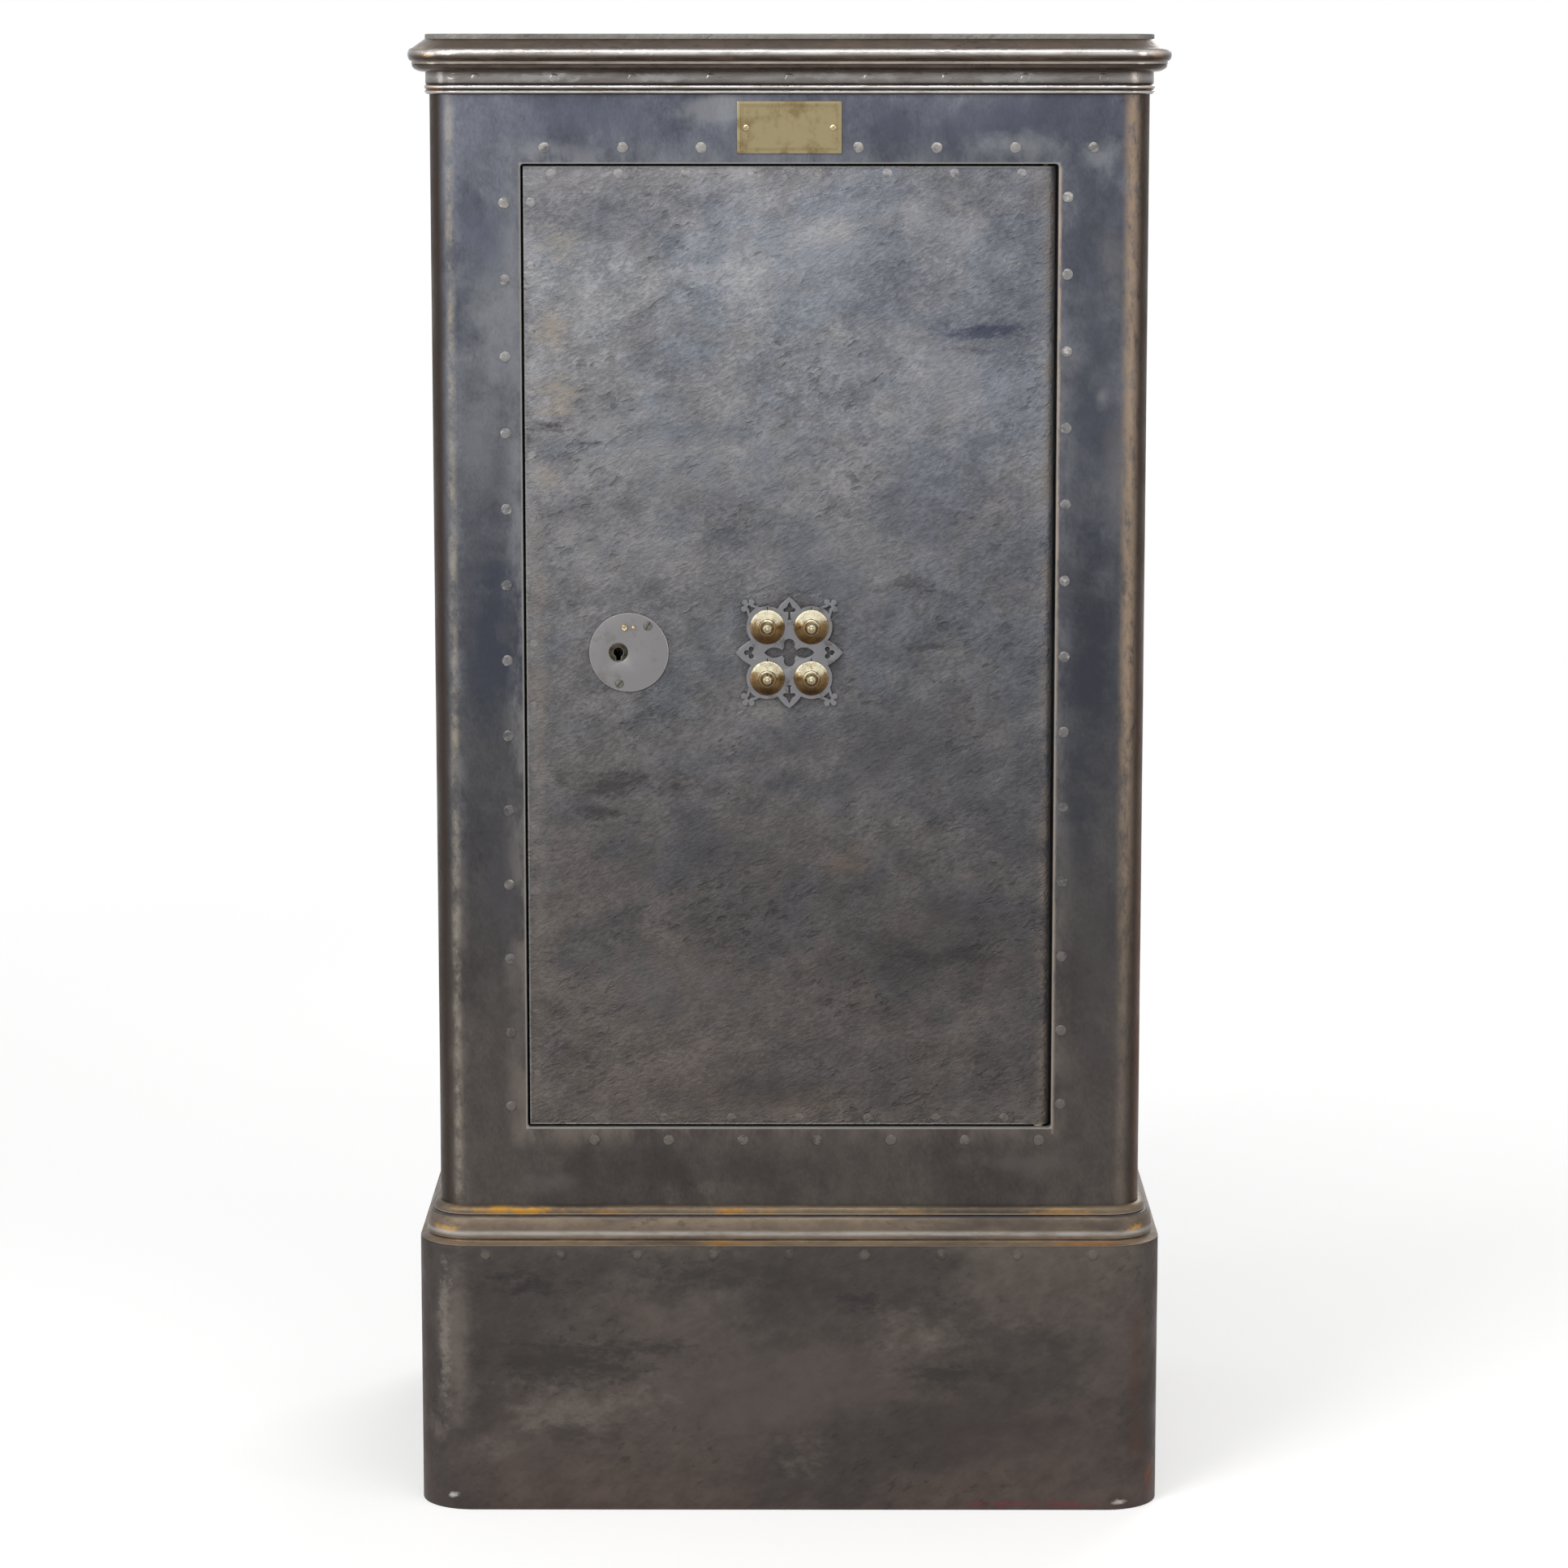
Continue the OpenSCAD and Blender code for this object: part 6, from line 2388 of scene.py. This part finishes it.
@dataclass
class Boltwork:
    """Round bolts, their bars and guides on the back of the door."""

    bolts: int = 4
    bolt_arris: float = 1.6

    def dress(self) -> None:
        """Finishes the boltwork."""
        carriage, door = Body.CARRIAGE.value, Body.DOOR.value
        for i in range(1, self.bolts + 1):
            Fitting(
                f"bolt_{i}", f"round_bolt_{i}", BOLT_STEEL, Slot.BRIGHT_STEEL, self.bolt_arris, 3,
            ).dress(carriage)
        for node, name, width, body in (
            ("bolt_nuts", "bolt_end_nuts", 0.8, carriage),
            ("carriage_bar", "upright_bar", 1.0, carriage),
            ("rack_bar", "toothed_bar", 0.3, carriage),
            ("fence_bar", "fence_strip", 0.6, carriage),
            ("bolt_guide", "bolt_guide_bar", 0.8, door),
            ("rack_keeper", "rack_strap", 0.8, door),
        ):
            Fitting(node, name, WORKS_STEEL, Slot.SATIN_STEEL, width).dress(body)


@dataclass(frozen=True)
class SoftBox:
    """A soft box lamp: where it hangs, what it points at, and its width and height, in metres."""

    name: str
    place: tuple[float, float, float]
    aim: tuple[float, float, float]
    size: tuple[float, float]
    watts: float
    tint: tuple[float, float, float] = (1, 1, 1)

    def hang(self) -> None:
        """Hangs the lamp."""
        data = bpy.data.lights.new(self.name, "AREA")
        data.shape = "RECTANGLE"
        data.size, data.size_y = self.size
        data.energy = self.watts
        data.color = self.tint
        lamp = bpy.data.objects.new(self.name, data)
        lamp.location = self.place
        lamp.rotation_euler = (Vector(self.aim) - Vector(self.place)).to_track_quat("-Z", "Y").to_euler()
        lamp.visible_camera = False
        bpy.context.scene.collection.objects.link(lamp)


MIDDLE = (0.0, -0.2, 0.9)
LAMPS = (
    SoftBox("key_box", (-2.6, -4.2, 3.2), MIDDLE, (2.0, 2.4), 108, (1.0, 0.99, 0.97)),
    SoftBox("top_strip", (0.0, -2.1, 3.6), (0.0, -0.3, 1.2), (3.0, 0.7), 40),
    SoftBox("right_box", (3.6, -2.6, 1.8), MIDDLE, (0.9, 2.4), 27, (1.0, 0.93, 0.84)),
    SoftBox("left_box", (-3.8, -1.6, 1.6), MIDDLE, (0.8, 2.6), 24, (0.95, 0.97, 1.0)),
    SoftBox("back_box", (1.5, 4.0, 3.0), MIDDLE, (2.5, 2.0), 80),
)


@dataclass
class Studio:
    """Pale floor, soft boxes, a pale world and the camera."""

    camera_x: float = 7.0
    camera_y: float = -5279.0
    camera_z: float = 1533.0
    pitch_deg: float = 8.609
    yaw_deg: float = 0.144
    lens: float = 111.45
    sensor: float = 36.0
    view_far: float = 100.0
    fill: float = 0.28
    glow: float = 0.40
    floor_half: float = 30000.0

    def camera(self) -> None:
        """Sets the camera at the photograph's viewing angle."""
        data = bpy.data.cameras.new("camera")
        data.lens = self.lens
        data.sensor_width = self.sensor
        data.clip_end = self.view_far
        camera = bpy.data.objects.new("camera", data)
        camera.location = Vector((self.camera_x, self.camera_y, self.camera_z)) * MM
        camera.rotation_euler = (math.radians(90 - self.pitch_deg), 0, math.radians(self.yaw_deg))
        bpy.context.scene.collection.objects.link(camera)
        bpy.context.scene.camera = camera

    @staticmethod
    def shown(tree: bpy.types.NodeTree) -> NodeSocket:
        """Tells apart the rays that show a thing: straight, mirrored or through glass.

        Args:
            tree: Node tree that takes the nodes.

        Returns:
            1 for those rays and 0 for the others.
        """
        path = tree.nodes.new("ShaderNodeLightPath").outputs
        total = path["Is Camera Ray"]
        for name in ("Is Glossy Ray", "Is Transmission Ray"):
            add = tree.nodes.new("ShaderNodeMath")
            add.operation = "MAXIMUM"
            tree.links.new(total, add.inputs[0])
            tree.links.new(path[name], add.inputs[1])
            total = add.outputs[0]
        return total

    def world(self) -> None:
        """Makes a white surround that lights the object only softly."""
        world = bpy.data.worlds.new("surround")
        world.use_nodes = True
        bpy.context.scene.world = world
        tree = world.node_tree
        ground = tree.nodes["Background"]
        ground.inputs["Color"].default_value = (1, 1, 1, 1)
        level = tree.nodes.new("ShaderNodeMapRange")
        tree.links.new(self.shown(tree), level.inputs[0])
        level.inputs[3].default_value = self.fill
        level.inputs[4].default_value = 1.0
        tree.links.new(level.outputs[0], ground.inputs["Strength"])

    def floor(self) -> None:
        """Lays a pale floor that fades into the surround and keeps the shadow."""
        bm = bmesh.new()
        bmesh.ops.create_grid(bm, x_segments=24, y_segments=24, size=self.floor_half * MM)
        mesh = bpy.data.meshes.new("studio_floor")
        bm.to_mesh(mesh)
        bm.free()
        floor = bpy.data.objects.new("studio_floor", mesh)
        bpy.context.scene.collection.objects.link(floor)
        recipe = Recipe("pale_floor")
        away = recipe.node("ShaderNodeVectorMath", {0: recipe.place}, operation="LENGTH").outputs[1]
        far = recipe.share(away, 1.0, 4.0)
        shown = self.shown(recipe.tree)
        recipe.finish(Base_Color=(0.8, 0.8, 0.8, 1), Roughness=0.9, Specular_IOR_Level=0.1)
        glow = recipe.node("ShaderNodeEmission", {"Strength": recipe.times(shown, self.glow)})
        near = recipe.node("ShaderNodeAddShader", {0: recipe.shader.outputs[0], 1: glow.outputs[0]})
        white = recipe.node("ShaderNodeEmission", {"Strength": 1.0})
        part = recipe.times(far, shown)
        both = recipe.node("ShaderNodeMixShader", {0: part, 1: near.outputs[0], 2: white.outputs[0]})
        output = next(n for n in recipe.tree.nodes if n.bl_idname == "ShaderNodeOutputMaterial")
        recipe.feed(output.inputs["Surface"], both.outputs[0])
        mesh.materials.append(recipe.material)

    def dress(self) -> None:
        """Sets up the whole studio."""
        self.camera()
        self.world()
        self.floor()
        for lamp in LAMPS:
            lamp.hang()


def main() -> None:
    """Builds the safe's looks, one sub-assembly after another."""
    bpy.context.scene.view_settings.view_transform = "Standard"
    logging.basicConfig(level=logging.INFO, format="%(name)s: %(message)s", stream=sys.stdout)
    first, last = ((x, CORNICE.z0 + BAND_MID) for x in ROW_ENDS)
    cornice_rivets = RivetRow(first, last, ROW_COUNT, BODY_PLAN.front - BAND_OUT, 5.0, 0.8)
    parts = [
        Studio(),
        Casing(),
        Moulding("cornice_moulding", "cornice", CORNICE_IRON, cornice_section(), rivets=cornice_rivets),
        Moulding("foot_moulding", "foot_bead", FOOT_IRON, foot_section()),
        Moulding("plinth_cap_moulding", "plinth_moulding", FOOT_IRON, plinth_section()),
        Plinth(),
        Interior(),
        MakerPlate(),
        DoorLeaf(),
        LockDisc(),
        PiercedPlate(),
        *[DialKnob(place) for place in DialPlace],
        Boltwork(),
    ]
    for part in parts:
        part.dress()
        log.info("%s is finished", type(part).__name__)


if __name__ == "__main__":
    main()
